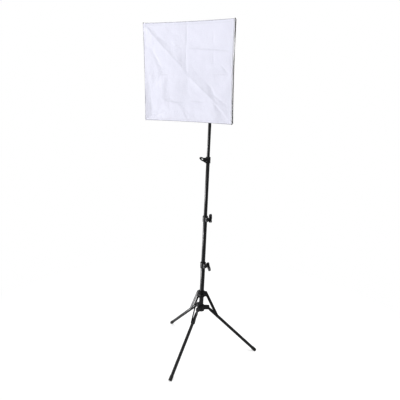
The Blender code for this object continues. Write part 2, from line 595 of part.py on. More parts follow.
def spiral():
    """Closed tube swept along the coil path."""
    path = coil_path()
    bm = bmesh.new()
    rings, previous = [], None
    for i, point in enumerate(path):
        tangent = (path[min(i + 1, len(path) - 1)] - path[max(i - 1, 0)]).normalized()
        outward = Vector((point.x, 0, point.z))
        # Close to the lamp axis outward is ill-defined, so the last side is kept.
        side = tangent.cross(outward).normalized() if outward.length > 6 else previous
        if previous is not None and side.dot(previous) < 0:
            side = -side
        side = (side - tangent * side.dot(tangent)).normalized()
        previous = side
        up = side.cross(tangent).normalized()
        angles = [2 * pi * k / GLASS_SIDES for k in range(GLASS_SIDES)]
        rings.append([bm.verts.new(point + GLASS_R * (cos(a) * side + sin(a) * up))
                      for a in angles])
    for a, b in zip(rings, rings[1:]):
        bridge(bm, a, b)
    bm.faces.new(rings[0])
    bm.faces.new(rings[-1])
    return bm


bulb = empty("bulb_axis", head, LAMP_AXIS)
make("bulb_cap", lathe(BULB_CAP_PROFILE, 20, 'Y'), NICKEL, bulb)
make("bulb_ballast", lathe(BALLAST_PROFILE, 24, 'Y'), LAMP_PLASTIC, bulb)
make("bulb_spiral", spiral(), LAMP_GLASS, bulb, smooth_angle=80.0)

# ---------------------------------------------------------------- softbox fabric
BACK_HALF, FRONT_HALF = 72.5, 250.0      # half-sizes of the rear mouth and the front
SHELL_T = 2.5
SHELL_STATIONS = (                       # y, half-size
    (-34.0, BACK_HALF), (-38.0, BACK_HALF), (-328.0, 246.2), (-363.5, FRONT_HALF),
)
EDGE_BOW = 3.0                           # how far each front edge pulls in at its middle
EDGE_STEPS = 6
DIFFUSER_REAR, DIFFUSER_FRONT = SHELL_STATIONS[-1][0] - GAP, -367.0


def edge_loop(half, bow):
    """Square (x, z) loop about the lamp axis, each side pulled in by bow at its middle."""
    points = []
    for side in range(4):
        for i in range(EDGE_STEPS):
            t = -1 + 2 * i / EDGE_STEPS
            v = half - bow * (1 - t * t)
            u = t * half
            x, z = ((u, -v), (v, u), (-u, v), (-v, -u))[side]
            points.append((x, LAMP_UP + z))
    return points


def shell():
    """Fabric sleeve, open at both ends: outer face forwards, inner face back."""
    bm = bmesh.new()
    stations = [(y, half, 0.0) for y, half in SHELL_STATIONS]
    stations += [(y, half, SHELL_T) for y, half in reversed(SHELL_STATIONS)]
    loops = []
    for y, half, inset in stations:
        bow = EDGE_BOW * (half - BACK_HALF) / (FRONT_HALF - BACK_HALF)
        loops.append([bm.verts.new((x, y, z)) for x, z in edge_loop(half - inset, bow)])
    for a, b in zip(loops, loops[1:] + loops[:1]):
        bridge(bm, a, b)
    return bm


make("softbox_shell", shell(), BLACK_FABRIC, head)
make("front_diffuser", plate(edge_loop(FRONT_HALF, EDGE_BOW), DIFFUSER_FRONT, DIFFUSER_REAR, 'XZ'),
     WHITE_FABRIC, head)
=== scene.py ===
"""Studio softbox on a light stand: the looks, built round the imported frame.

The softbox is modelled in millimetres in the head's frame: the origin is the tilt joint, -Y points
out through the white front cloth, +X is right as seen from the front, +Z is up, and the lamp's
axis lies LAMP_UP above the origin. HEAD carries that frame to its tilted place on the stand.
"""
import bpy
import bmesh
import json
import math
from math import sin, cos, pi, radians, exp
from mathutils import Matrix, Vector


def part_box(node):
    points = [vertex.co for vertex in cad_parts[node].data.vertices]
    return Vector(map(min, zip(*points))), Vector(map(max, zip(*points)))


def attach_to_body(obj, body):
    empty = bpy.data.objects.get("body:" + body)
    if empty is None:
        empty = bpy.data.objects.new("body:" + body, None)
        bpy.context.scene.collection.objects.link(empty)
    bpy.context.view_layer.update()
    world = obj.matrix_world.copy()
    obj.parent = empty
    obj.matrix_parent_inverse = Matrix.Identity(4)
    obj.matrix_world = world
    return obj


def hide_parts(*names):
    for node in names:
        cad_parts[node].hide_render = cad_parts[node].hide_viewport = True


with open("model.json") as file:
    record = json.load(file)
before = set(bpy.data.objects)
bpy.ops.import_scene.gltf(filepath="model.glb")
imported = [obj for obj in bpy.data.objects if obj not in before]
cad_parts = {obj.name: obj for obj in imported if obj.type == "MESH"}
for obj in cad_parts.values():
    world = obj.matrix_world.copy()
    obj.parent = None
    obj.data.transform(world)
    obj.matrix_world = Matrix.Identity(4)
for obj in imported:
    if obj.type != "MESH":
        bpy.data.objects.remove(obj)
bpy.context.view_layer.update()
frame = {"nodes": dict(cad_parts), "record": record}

from types import SimpleNamespace
import numpy as np
from mathutils import Vector, Matrix, noise
from mathutils.geometry import delaunay_2d_cdt

MM = 0.001
WHITE = (1, 1, 1)
scene = bpy.context.scene

# ------------------------------------------------------------------ frames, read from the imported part
tube_low, tube_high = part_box("base_tube")
COLUMN_X = (tube_low[0] + tube_high[0]) / 2
COLUMN_Y = (tube_low[1] + tube_high[1]) / 2
JOINTS = {joint["name"]: joint for joint in frame["record"]["behaviour"]["joints"]}
TILT = Vector(JOINTS["head_tilt"]["pos_m"])
FORWARD = Vector(JOINTS["bulb_unscrew"]["axis"])
TILT_ANGLE = math.atan2(-FORWARD.z, -FORWARD.y)
HEAD = Matrix.Translation(TILT) @ Matrix.Rotation(TILT_ANGLE, 4, 'X')

# ------------------------------------------------------------------ softbox sizes, mm
LAMP_UP = 60.0
HALF = 250.0            # half the front, from the axis to an edge
BOW = 3.0               # how far the middle of each front edge pulls in
PANEL_DEPTH = 300.0     # tapering panels, rear opening to band seam
BAND_DEPTH = 28.5       # straight band, seam to front rim
Y_BACK = -34.5
Y_SEAM = Y_BACK - PANEL_DEPTH
Y_RIM = Y_SEAM - BAND_DEPTH
Y_FACE = -365.6         # plane of the stretched front cloth
BACK_HALF, SEAM_HALF = 71.5, 246.3
RIM_HALF = HALF - 0.6   # black band at its front rim
COLLAR_Y = Y_BACK + 1.2
COLLAR_RADIUS = 41.0    # gathered opening round the lamp housing
COLLAR_STEPS = 144
CORNERS = (("top_left", -1, 1), ("top_right", 1, 1), ("bottom_left", -1, -1), ("bottom_right", 1, -1))
OUTWARD = ((0, -1), (1, 0), (0, 1), (-1, 0))    # (x, z) of sides 0 bottom, 1 right, 2 top, 3 left


# ------------------------------------------------------------------ node helpers
class Graph:
    """A node tree; each method adds nodes and returns the output to use."""

    def __init__(self, tree):
        self.tree = tree

    def put(self, socket, value):
        """Link an output, or set a value; colours get alpha 1."""
        if isinstance(value, bpy.types.NodeSocket):
            self.tree.links.new(value, socket)
        else:
            socket.default_value = (*value[:3], 1.0) if socket.type == 'RGBA' else value

    def node(self, kind, **inputs):
        node = self.tree.nodes.new(kind)
        for key, value in inputs.items():
            self.put(node.inputs[key.replace("_", " ")], value)
        return node

    def maths(self, operation, *values):
        node = self.node("ShaderNodeMath")
        node.operation = operation
        for socket, value in zip(node.inputs, values):
            self.put(socket, value)
        return node.outputs[0]

    def times(self, first, second):
        return self.maths('MULTIPLY', first, second)

    def plus(self, first, second):
        return self.maths('ADD', first, second)

    def mix_shader(self, factor, first, second):
        node = self.node("ShaderNodeMixShader", Fac=factor)
        self.put(node.inputs[1], first)
        self.put(node.inputs[2], second)
        return node.outputs[0]


class Material(Graph):
    """A material built round its Principled shader."""

    def __init__(self, name):
        self.material = bpy.data.materials.new(name)
        self.material.use_nodes = True
        super().__init__(self.material.node_tree)
        self.principled = self.tree.nodes["Principled BSDF"]
        self.texture_coords = self.node("ShaderNodeTexCoord")

    def coords(self, kind="Object", scale=(1, 1, 1)):
        source = self.texture_coords.outputs[kind]
        return self.node("ShaderNodeMapping", Vector=source, Scale=scale).outputs["Vector"]

    def noise(self, coords, scale=1.0, detail=4.0, rough=0.6, twist=0.0):
        return self.node("ShaderNodeTexNoise", Vector=coords, Scale=scale, Detail=detail,
                         Roughness=rough, Distortion=twist).outputs["Fac"]

    def wave(self, coords, scale, direction='X'):
        node = self.node("ShaderNodeTexWave", Vector=coords, Scale=scale, Distortion=0.0)
        node.bands_direction = direction
        return node.outputs["Fac"]

    def ramp(self, factor, *stops):
        """Two stops, each (position, grey or colour)."""
        node = self.node("ShaderNodeValToRGB", Fac=factor)
        for element, (position, color) in zip(node.color_ramp.elements, stops):
            element.position = position
            color = color if isinstance(color, tuple) else (color,) * 3
            element.color = (*color, 1.0)
        return node.outputs["Color"]

    def tint(self, base, color, mask, amount):
        """Lay a colour over the base where the mask is bright."""
        factor = self.times(mask, amount)
        node = self.node("ShaderNodeMix")
        node.data_type = 'RGBA'
        for key, value in (("Factor", factor), ("A", base), ("B", color)):
            self.put(next(s for s in node.inputs if s.name == key and s.enabled), value)
        return next(s for s in node.outputs if s.enabled)

    def bump(self, height, strength, distance, **under):
        """Raise the surface; Normal=... stacks it on another bump."""
        return self.node("ShaderNodeBump", Strength=strength, Distance=distance, Height=height,
                         **under).outputs["Normal"]

    def edges(self, start, end):
        """Mask of sharp outer edges."""
        geometry = self.node("ShaderNodeNewGeometry")
        return self.ramp(geometry.outputs["Pointiness"], (start, 0.0), (end, 1.0))

    def attribute(self, name):
        node = self.node("ShaderNodeAttribute")
        node.attribute_name = name
        return node.outputs["Fac"]

    def surface(self, shader):
        self.put(self.tree.nodes["Material Output"].inputs["Surface"], shader)

    def done(self, **settings):
        for key, value in settings.items():
            self.put(self.principled.inputs[key.replace("_", " ")], value)
        return self.material


def scaled(color, factor):
    return tuple(c * factor for c in color)


# ------------------------------------------------------------------ materials
def coated(name, dark, light, rough=0.34, grain=900.0, wear=0.5):
    """Black coated aluminium: fine orange-peel, faint streaks from sliding, worn edges."""
    mat = Material(name)
    coords = mat.coords()
    color = mat.ramp(mat.noise(coords, scale=14.0), (0.3, dark), (0.75, light))
    streak = mat.noise(mat.coords(scale=(420, 420, 6)), detail=3)
    streak = mat.ramp(streak, (0.62, 0.0), (0.80, 1.0))
    color = mat.tint(color, scaled(light, 2.2), mask=streak, amount=0.35)
    color = mat.tint(color, (0.07, 0.07, 0.072), mask=mat.edges(start=0.53, end=0.62), amount=wear)
    peel = mat.noise(coords, scale=grain, detail=2, rough=0.5)
    roughness = mat.ramp(mat.noise(coords, scale=60.0), (0.3, rough - 0.07), (0.7, rough + 0.08))
    return mat.done(Base_Color=color, Roughness=roughness, Specular_IOR_Level=0.28,
                    Normal=mat.bump(peel, strength=0.10, distance=0.0003))


def moulded(name, dark, light, rough=0.5, grain=1400.0):
    """Moulded glass-filled nylon: pebbled grain, flow marks, paler rubbed edges."""
    mat = Material(name)
    coords = mat.coords()
    color = mat.ramp(mat.noise(coords, scale=35.0), (0.3, dark), (0.75, light))
    rubbed = tuple(min(1.0, c * 3.5 + 0.01) for c in light)
    color = mat.tint(color, rubbed, mask=mat.edges(start=0.53, end=0.63), amount=0.6)
    pebbles = mat.noise(coords, scale=grain, detail=2)
    flow = mat.noise(coords, scale=grain / 4, detail=3)
    height = mat.plus(pebbles, mat.times(flow, 0.6))
    roughness = mat.ramp(mat.noise(coords, scale=90.0), (0.3, rough - 0.08), (0.7, rough + 0.10))
    return mat.done(Base_Color=color, Roughness=roughness, Specular_IOR_Level=0.32,
                    Normal=mat.bump(height, strength=0.22, distance=0.0004))


def metal(name, dark, light, rough=0.28, brush=(900, 40, 900)):
    """Plated or turned metal: brushed grain, small dull spots."""
    mat = Material(name)
    brushed = mat.noise(mat.coords(scale=brush), detail=3, rough=0.7)
    spots = mat.noise(mat.coords(), scale=240.0, rough=0.7)
    color = mat.ramp(spots, (0.35, dark), (0.7, light))
    roughness = mat.plus(mat.times(brushed, 0.22), rough - 0.08)
    return mat.done(Base_Color=color, Metallic=1.0, Roughness=roughness,
                    Normal=mat.bump(brushed, strength=0.08, distance=0.0002))


def rubber(name):
    """Dark rubber with a film of dust."""
    mat = Material(name)
    coords = mat.coords()
    color = mat.ramp(mat.noise(coords, scale=55.0, detail=5, rough=0.65),
                     (0.3, (0.012, 0.012, 0.012)), (0.8, (0.035, 0.034, 0.033)))
    dust = mat.ramp(mat.noise(coords, scale=160.0, detail=5, rough=0.7), (0.55, 0.0), (0.8, 1.0))
    color = mat.tint(color, (0.22, 0.21, 0.20), mask=dust, amount=0.18)
    grain = mat.noise(coords, scale=900.0, detail=3, rough=0.7)
    return mat.done(Base_Color=color, Roughness=0.82, Specular_IOR_Level=0.3,
                    Normal=mat.bump(grain, strength=0.35, distance=0.0004))


def weave_height(mat, pitch):
    """Plain weave from two crossed wave sets on the cloth's own UV, in metres."""
    scale = 3.14159 / 6.2832 / pitch
    return mat.plus(mat.wave(mat.coords("UV"), scale, 'X'), mat.wave(mat.coords("UV"), scale, 'Y'))


def black_nylon_cloth(name):
    """Ripstop nylon: fine weave, a grid of heavier threads, crumpled."""
    mat = Material(name)
    dark, light = (0.006, 0.006, 0.0065), (0.015, 0.015, 0.0165)
    weave = weave_height(mat, pitch=0.0011)
    ripstop = mat.maths('MAXIMUM', *(
        mat.ramp(mat.wave(mat.coords("UV"), 95.0, direction), (0.90, 0.0), (0.98, 1.0))
        for direction in 'XY'))
    coords = mat.coords()
    cloud = mat.noise(coords, scale=9.0, detail=5, rough=0.65)
    color = mat.ramp(cloud, (0.3, dark), (0.8, light))
    color = mat.tint(color, scaled(light, 1.9), mask=ripstop, amount=0.25)
    threads = mat.plus(weave, mat.times(ripstop, 1.2))
    crumple = mat.noise(coords, scale=26.0, detail=5, rough=0.62, twist=0.6)
    normal = mat.bump(crumple, strength=0.28, distance=0.006)
    normal = mat.bump(threads, strength=0.30, distance=0.0003, Normal=normal)
    roughness = mat.ramp(cloud, (0.3, 0.52), (0.7, 0.68))
    return mat.done(Base_Color=color, Roughness=roughness, Sheen_Weight=0.10,
                    Sheen_Roughness=0.45, Specular_IOR_Level=0.28, Normal=normal)


def silver_lining(name):
    """Silvered lining, creased and embossed in small cells."""
    mat = Material(name)
    coords = mat.coords()
    creases = mat.noise(coords, scale=55.0, detail=6, rough=0.7, twist=1.2)
    cells = mat.node("ShaderNodeTexVoronoi", Vector=coords, Scale=160.0)
    color = mat.ramp(mat.noise(coords, scale=12.0),
                     (0.3, (0.62, 0.63, 0.65)), (0.75, (0.80, 0.81, 0.83)))
    normal = mat.bump(creases, strength=0.5, distance=0.004)
    normal = mat.bump(cells.outputs["Distance"], strength=0.35, distance=0.0012, Normal=normal)
    return mat.done(Base_Color=color, Metallic=0.85, Roughness=0.34, Normal=normal)


def diffusion_cloth(name):
    """White polyester silk: fine weave, slight lavender cast, lets some light through."""
    mat = Material(name)
    weave = weave_height(mat, pitch=0.0009)
    coords = mat.coords()
    color = mat.ramp(mat.noise(coords, scale=5.0),
                     (0.25, (0.772, 0.774, 0.856)), (0.8, (0.828, 0.830, 0.912)))
    slub = mat.noise(mat.coords("UV", scale=(30, 900, 1)), detail=3)
    slub = mat.ramp(slub, (0.55, 0.0), (0.8, 1.0))
    color = mat.tint(color, (0.74, 0.74, 0.80), mask=slub, amount=0.05)
    # vertex attributes: the stitched line of the hem, darker partly as doubled cloth and partly as
    # painted shade; painted shade along the pressed folds; painted light on the hem turned over the rim
    for attribute, shade, amount in (("hem_stitch_and_shade", (0.44, 0.44, 0.49), 0.08),
                                     ("crease_shade", (0.44, 0.44, 0.50), 0.16),
                                     ("hem_painted_light", (0.96, 0.96, 0.98), 0.85)):
        color = mat.tint(color, shade, mask=mat.attribute(attribute), amount=amount)
    normal = mat.bump(mat.noise(coords, scale=48.0, twist=0.4), strength=0.10, distance=0.003)
    normal = mat.bump(weave, strength=0.16, distance=0.00025, Normal=normal)
    mat.done(Base_Color=color, Roughness=0.78, Sheen_Weight=0.15, Sheen_Roughness=0.4,
             Specular_IOR_Level=0.25, Normal=normal)
    translucent = mat.node("ShaderNodeBsdfTranslucent", Color=color, Normal=normal)
    mat.surface(mat.mix_shader(0.12, mat.principled.outputs[0], translucent.outputs[0]))
    return mat.material


def webbing(name, dark=(0.014, 0.014, 0.015), light=(0.035, 0.035, 0.037)):
    """Coarse woven tape."""
    mat = Material(name)
    coords = mat.coords()
    weave = mat.plus(mat.wave(mat.coords(), 260.0, 'X'), mat.wave(mat.coords(), 260.0, 'Z'))
    color = mat.ramp(mat.noise(coords, scale=120.0), (0.3, dark), (0.75, light))
    return mat.done(Base_Color=color, Roughness=0.85, Sheen_Weight=0.3,
                    Normal=mat.bump(weave, strength=0.5, distance=0.0006))


def thread(name, light):
    """Twisted sewing thread."""
    mat = Material(name)
    color = mat.ramp(mat.noise(mat.coords(), scale=700.0, detail=3),
                     (0.3, scaled(light, 0.75)), (0.7, light))
    twist = mat.wave(mat.coords(), 900.0)
    return mat.done(Base_Color=color, Roughness=0.7, Sheen_Weight=0.3,
                    Normal=mat.bump(twist, strength=0.3, distance=0.0002))


def fibreglass(name):
    """Pale rod with strands along its length."""
    mat = Material(name)
    strands = mat.noise(mat.coords(scale=(700, 60, 700)), rough=0.7)
    color = mat.ramp(strands, (0.3, (0.62, 0.61, 0.55)), (0.75, (0.82, 0.81, 0.76)))
    return mat.done(Base_Color=color, Roughness=0.42, Coat_Weight=0.3,
                    Normal=mat.bump(strands, strength=0.15, distance=0.0003))


def glazed(name, dark, light, rough, coat=0.5, grain=300.0, relief=0.04):
    """Glossy surface under a clear coat, with fine specks."""
    mat = Material(name)
    coords = mat.coords()
    color = mat.ramp(mat.noise(coords, scale=25.0), (0.3, dark), (0.75, light))
    specks = mat.ramp(mat.noise(coords, scale=600.0, detail=2), (0.70, 0.0), (0.78, 1.0))
    color = mat.tint(color, scaled(dark, 0.6), mask=specks, amount=0.15)
    roughness = mat.ramp(mat.noise(coords, scale=70.0, detail=3),
                         (0.3, rough - 0.05), (0.7, rough + 0.08))
    ripple = mat.noise(coords, scale=grain, detail=3, rough=0.5)
    return mat.done(Base_Color=color, Roughness=roughness, Coat_Weight=coat, Coat_Roughness=0.12,
                    Normal=mat.bump(ripple, strength=relief, distance=0.0004))


MAT_TUBE = coated("coated_tube_black", dark=(0.007, 0.0072, 0.0075), light=(0.013, 0.0132, 0.0138))
MAT_BAR = coated("coated_bar_black", dark=(0.009, 0.009, 0.0094), light=(0.017, 0.017, 0.0178),
                 rough=0.40, grain=700.0, wear=0.7)
MAT_NYLON = moulded("moulded_nylon_black", dark=(0.009, 0.009, 0.0095), light=(0.019, 0.019, 0.020))
MAT_HOUSING = moulded("moulded_housing_black", dark=(0.012, 0.012, 0.013),
                      light=(0.024, 0.024, 0.026), rough=0.42, grain=1100.0)
MAT_STEEL = metal("plated_steel", dark=(0.50, 0.50, 0.49), light=(0.74, 0.74, 0.73))
MAT_SCREW = metal("blackened_steel", dark=(0.035, 0.035, 0.036), light=(0.07, 0.07, 0.072),
                  rough=0.42)
MAT_SPIGOT = metal("turned_steel", dark=(0.52, 0.52, 0.50), light=(0.78, 0.78, 0.77),
                   rough=0.24, brush=(60, 60, 1800))
MAT_ALLOY = metal("cast_alloy_ring", dark=(0.42, 0.42, 0.42), light=(0.62, 0.62, 0.62),
                  rough=0.38, brush=(300, 300, 300))
MAT_RUBBER = rubber("foot_rubber")
MAT_SHELL = black_nylon_cloth("softbox_black_nylon")
MAT_LINING = silver_lining("softbox_silver_lining")
MAT_CLOTH = diffusion_cloth("diffusion_cloth_white")
MAT_WEB = webbing("corner_webbing_black")
# grey tape: painted shade, standing in for the white hem lying in shade along the cloth's edge
MAT_PAINTED_SHADE_TAPE = webbing("hem_tape_grey_painted_shade", dark=(0.30, 0.30, 0.34), light=(0.42, 0.42, 0.47))
MAT_THREAD = thread("thread_black", light=(0.06, 0.06, 0.065))
MAT_ROD = fibreglass("rod_fibreglass")
MAT_SOCKET = glazed("socket_porcelain", dark=(0.74, 0.72, 0.67), light=(0.86, 0.85, 0.81),
                    rough=0.20)
MAT_CAP = metal("nickelled_lamp_cap", dark=(0.55, 0.53, 0.47), light=(0.78, 0.76, 0.70),
                rough=0.26, brush=(900, 900, 900))
MAT_BALLAST = glazed("ballast_white_plastic", dark=(0.78, 0.78, 0.76), light=(0.88, 0.88, 0.87),
                     rough=0.34, coat=0.1, grain=900.0, relief=0.10)
MAT_GLASS = glazed("phosphor_glass", dark=(0.86, 0.86, 0.83), light=(0.94, 0.94, 0.92),
                   rough=0.14, coat=0.8, grain=200.0, relief=0.03)
MAT_ROCKER = glazed("rocker_red", dark=(0.36, 0.012, 0.012), light=(0.48, 0.02, 0.02),
                    rough=0.30, coat=0.3, grain=900.0, relief=0.08)


# ------------------------------------------------------------------ mesh helpers, mm
def finish(name, bm, material, place=HEAD, smooth=35.0, weld=1e-4):
    """Turn a bmesh in mm into an object in metres; smooth is the sharp-edge angle in degrees."""
    if weld:
        bmesh.ops.remove_doubles(bm, verts=bm.verts, dist=weld)
    bmesh.ops.recalc_face_normals(bm, faces=bm.faces)
    bm.transform(place @ Matrix.Scale(MM, 4))
    mesh = bpy.data.meshes.new(name)
    bm.to_mesh(mesh)
    bm.free()
    mesh.shade_smooth()
    if smooth is not None:
        mesh.set_sharp_from_angle(angle=radians(smooth))
    ob = bpy.data.objects.new(name, mesh)
    scene.collection.objects.link(ob)
    mesh.materials.append(material)
    return ob


def attach(ob, replaces=None):
    """Record a piece that moves with the head."""
    if replaces:
        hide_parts(replaces)
    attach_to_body(ob, "head")


def solidify(ob, thickness, offset=-1.0):
    modifier = ob.modifiers.new("thickness", 'SOLIDIFY')
    modifier.thickness = thickness * MM
    modifier.offset = offset
    return modifier


def face_outwards(ob, centre_y):
    """Flip an open sheet whose faces point at the lamp's axis."""
    centre = HEAD @ (Vector((0, centre_y, LAMP_UP)) * MM)
    if sum((face.center - centre).dot(face.normal) for face in ob.data.polygons) < 0:
        ob.data.flip_normals()


def join_rings(bm, first, second):
    """Quads between two closed rings of equal length, in order."""
    count = len(first)
    return [bm.faces.new((first[i], first[(i + 1) % count], second[(i + 1) % count], second[i]))
            for i in range(count)]


def lathe(profile, seg):
    """Turn (radius, height) stations about Z; a zero radius is a pole."""
    bm = bmesh.new()
    rings = []
    for radius, height in profile:
        count = seg if radius else 1
        rings.append([bm.verts.new((radius * cos(2 * pi * i / seg), radius * sin(2 * pi * i / seg),
                                    height)) for i in range(count)])
    for low, high in zip(rings, rings[1:]):
        for i in range(seg):
            k = (i + 1) % seg
            if len(low) == 1:
                bm.faces.new((low[0], high[i], high[k]))
            elif len(high) == 1:
                bm.faces.new((low[i], high[0], low[k]))
            else:
                bm.faces.new((low[i], high[i], high[k], low[k]))
    return bm


def sweep(points, radius, seg=10, closed=False, up=Vector((0, 1, 0))):
    """Round cord along a line of points."""
    bm = bmesh.new()
    count = len(points)
    rings = []
    for i, point in enumerate(points):
        before = points[i - 1] if (closed or i > 0) else point
        after = points[(i + 1) % count] if (closed or i < count - 1) else point
        along = (after - before).normalized()
        side = along.cross(up).normalized()
        lift = side.cross(along).normalized()
        rings.append([bm.verts.new(point + radius * (cos(2 * pi * k / seg) * side
                                                     + sin(2 * pi * k / seg) * lift))
                      for k in range(seg)])
    for first, second in zip(rings, rings[1:]):
        join_rings(bm, first, second)
    if closed:
        join_rings(bm, rings[-1], rings[0])
    else:
        bm.faces.new(rings[0])
        bm.faces.new(rings[-1])
    return bm


def smoothstep(start, end, x):
    share = np.clip((x - start) / (end - start), 0, 1)
    return share * share * (3 - 2 * share)


def wobble(x, y, z, seed):
    return noise.noise(Vector((x + seed, y - seed * 0.7, z + seed * 1.3)))


def repaint(node, material):
    """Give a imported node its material, smooth shading and slightly rounded edges."""
    ob = frame["nodes"][node]
    mesh = ob.data
    if not mesh.materials:
        mesh.materials.append(material)
    for i in range(len(mesh.materials)):
        mesh.materials[i] = material
    for slot in ob.material_slots:
        slot.material = material
    mesh.shade_smooth()
    ob.modifiers.new("weld", 'WELD').merge_threshold = 1e-6
    bevel = ob.modifiers.new("rounded_edges", 'BEVEL')
    bevel.width = 0.35 * MM
    bevel.segments = 2
    bevel.limit_method = 'ANGLE'
    bevel.angle_limit = radians(32)
    bevel.use_clamp_overlap = True
    bevel.harden_normals = True


# ------------------------------------------------------------------ relief of the front cloth
# The cloth's relief is a faceted sheet: points (across, up, height in mm towards the viewer), across
# and up from -1 to 1 over the face, joined by the crease lines left by folding and by the corners' pull.
POINTS = dict(
    # rim
    tl=(-1, 1, 0), tr=(1, 1, 0), bl=(-1, -1, 0), br=(1, -1, 0),
    t1=(-0.72, 1, 0), t2=(-0.55, 1, 0), t3=(0.0, 1, 0), t4=(0.57, 1, 0),
    b1=(-0.60, -1, 0), b2=(-0.30, -1, 0), b3=(0.03, -1, 0), b4=(0.30, -1, 0), b5=(0.60, -1, 0),
    l1=(-1, 0.55, 0), l2=(-1, 0.0, 0), l3=(-1, -0.35, 0), l4=(-1, -0.75, 0),
    r1=(1, 0.42, 0), r2=(1, -0.02, 0), r3=(1, -0.60, 0),
    # the long ridge from the top left to the bottom right corner
    m0=(-0.86, 0.84, 1.5), m1=(-0.70, 0.68, 1.7), m2=(-0.50, 0.485, 1.6), m3=(-0.27, 0.27, 1.9),
    m4=(-0.08, 0.07, 1.6), m5=(0.05, -0.08, 1.4), m6=(0.13, -0.15, 1.7), m7=(0.30, -0.29, 2.0),
    m8=(0.50, -0.46, 1.9), m9=(0.68, -0.62, 1.5), m10=(0.86, -0.80, 0.8),
    # foot of the ridge's upper right side, upper half
    a0=(-0.78, 0.88, -1.0), a1=(-0.58, 0.68, -0.6), a2=(-0.33, 0.66, 0.1), a3=(-0.25, 0.53, 0.0),
    a4=(-0.02, 0.475, -1.1), a5=(-0.02, 0.20, -1.2), a6=(0.0, 0.02, 0.1), a7=(-0.40, 0.56, -0.7),
    a8=(-0.66, 0.74, -0.8),
    # foot of the same side, lower half
    c0=(0.17, 0.06, -0.5), c1=(0.30, -0.07, -0.5), c2=(0.46, -0.19, -0.3), c3=(0.60, -0.33, -0.4),
    c4=(0.78, -0.52, 0.1), c5=(0.93, -0.66, 0.2), c6=(0.58, -0.42, -0.8),
    # hollow under the ridge, and the wedge at its lower end
    u0=(-0.60, 0.45, 1.0), u1=(-0.30, 0.12, 1.3), u2=(0.05, -0.25, 0.7), u3=(0.35, -0.45, 1.2),
    u4=(0.60, -0.60, 2.0), u5=(0.67, -0.82, 1.8), u6=(0.84, -0.87, 0.0), u7=(0.79, -0.78, -0.1),
    u8=(0.66, -0.64, 1.0),
    # upright storage folds: the middle one, then its neighbours
    f0=(0.02, 0.92, -0.3), f1=(0.02, 0.70, -0.4), f2=(0.02, 0.49, -0.9), f3=(0.035, 0.25, -1.0),
    f4=(0.05, -0.20, 0.6), f5=(0.0, -0.58, -0.2), f6=(0.02, -0.80, -0.4),
    g0=(0.575, 0.80, 0.3), g1=(0.58, 0.46, -0.3), g2=(0.59, 0.15, 0.4), g3=(0.60, -0.02, 0.2),
    g4=(0.56, -0.57, 1.5),
    h0=(-0.57, -0.03, 0.6), h1=(-0.565, -0.22, 1.5), h2=(-0.555, -0.555, 1.6),
    h3=(-0.58, -0.80, -0.3), h4=(-0.54, -0.61, 0.4), h5=(-0.66, -0.12, 0.4), h6=(-0.66, -0.50, 0.5),
    k0=(-0.47, -0.35, -0.2), k1=(-0.38, -0.55, -0.4), k2=(-0.43, -0.03, 0.6), k3=(-0.38, -0.61, 0.5),
    # pull from the left edge
    p0=(-0.87, 0.45, 0.6), p1=(-0.76, 0.24, 0.9), p2=(-0.65, 0.05, 1.1),
    q0=(-0.80, 0.46, -0.2), q1=(-0.69, 0.26, -0.3), q2=(-0.60, 0.10, 0.0),
    q3=(-0.72, 0.42, 0.7), q4=(-0.60, 0.20, 0.9),
    # left border band, which rolls back towards the bottom
    s0=(-0.95, 0.30, 0.3), s1=(-0.93, -0.15, -0.3), s2=(-0.88, -0.45, -1.8),
    s3=(-0.85, -0.75, -2.6), s4=(-0.85, -0.90, -2.3),
    # sideways folds
    x0=(0.30, 0.475, -0.5), x1=(0.80, 0.435, -0.5), x2=(0.30, 0.66, 0.5), x3=(0.80, 0.70, 0.5),
    x4=(0.30, 0.30, 0.5), x5=(0.82, 0.25, 0.5),
    y0=(0.80, -0.02, -0.2), y1=(0.77, 0.14, 0.2), y2=(0.93, 0.00, -0.5), y3=(0.86, -0.30, 0.7),
    z0=(-0.25, -0.585, -0.2), z1=(0.30, -0.57, -0.1), z2=(-0.25, -0.30, 0.8),
    z3=(0.28, -0.78, 0.8), z4=(-0.30, -0.80, 0.7),
    # foot of the cloth
    e0=(-0.22, -0.64, 0.8), e1=(-0.07, -0.80, 0.9), e2=(0.00, -0.93, 0.3), e3=(-0.10, -0.67, -0.5),
    e4=(0.13, -0.86, -0.7),
    n0=(-0.74, -0.885, -1.9), n1=(-0.60, -0.84, -0.5), n2=(-0.47, -0.76, 0.0),
    n3=(-0.70, -0.80, -1.3), n4=(-0.62, -0.94, 0.5),
    # swells between the folds
    o0=(-0.30, 0.85, 0.6), o1=(0.30, 0.88, 0.5), o2=(-0.28, 0.59, 0.7), o3=(0.14, 0.36, -0.5),
    o4=(0.27, 0.14, 0.2), o5=(0.86, 0.90, 0.5),
)
CREASES = (
    "tl m0 m1 m2 m3 m4 m5 m6 m7 m8 m9 m10 br",
    "tl a0 a1 a2 a3 a4 a5 a6 m5", "tl a8 a1 a7 a3", "a2 o2 a3",
    "m5 c0 c1 c2 c3 c4 c5 r3", "c2 c6 c3", "c6 m8",
    "u4 u5 u6 br", "u4 u8 u7 u6",
    "t3 f0 f1 f2 f3 f4 f5 f6 b3", "f2 a4",
    "t4 g0 g1 g2 g3", "f2 x0 g1 x1 r1", "g3 y0 y2 r2", "y1 y2",
    "h0 h1 h2 h4 h3 b1", "h1 k0 k1 h2", "h4 k3", "k1 k3", "h5 h6", "h0 k2", "k1 z0 f5 z1 g4",
    "l1 p0 p1 p2 h0", "p0 q0 q1 q2 h0", "q0 q3 q4 q2",
    "l2 s1 s2 s3 s4 bl",
    "e0 e1 e2 b3", "e0 e3 f6", "e4 b4",
    "bl n0 n1 n2", "bl n3", "n4 b1",
    # the rim, clockwise from the top left
    "tl t1 t2 t3 t4 tr r1 r2 r3 br b5 b4 b3 b2 b1 bl l4 l3 l2 l1 tl",
)
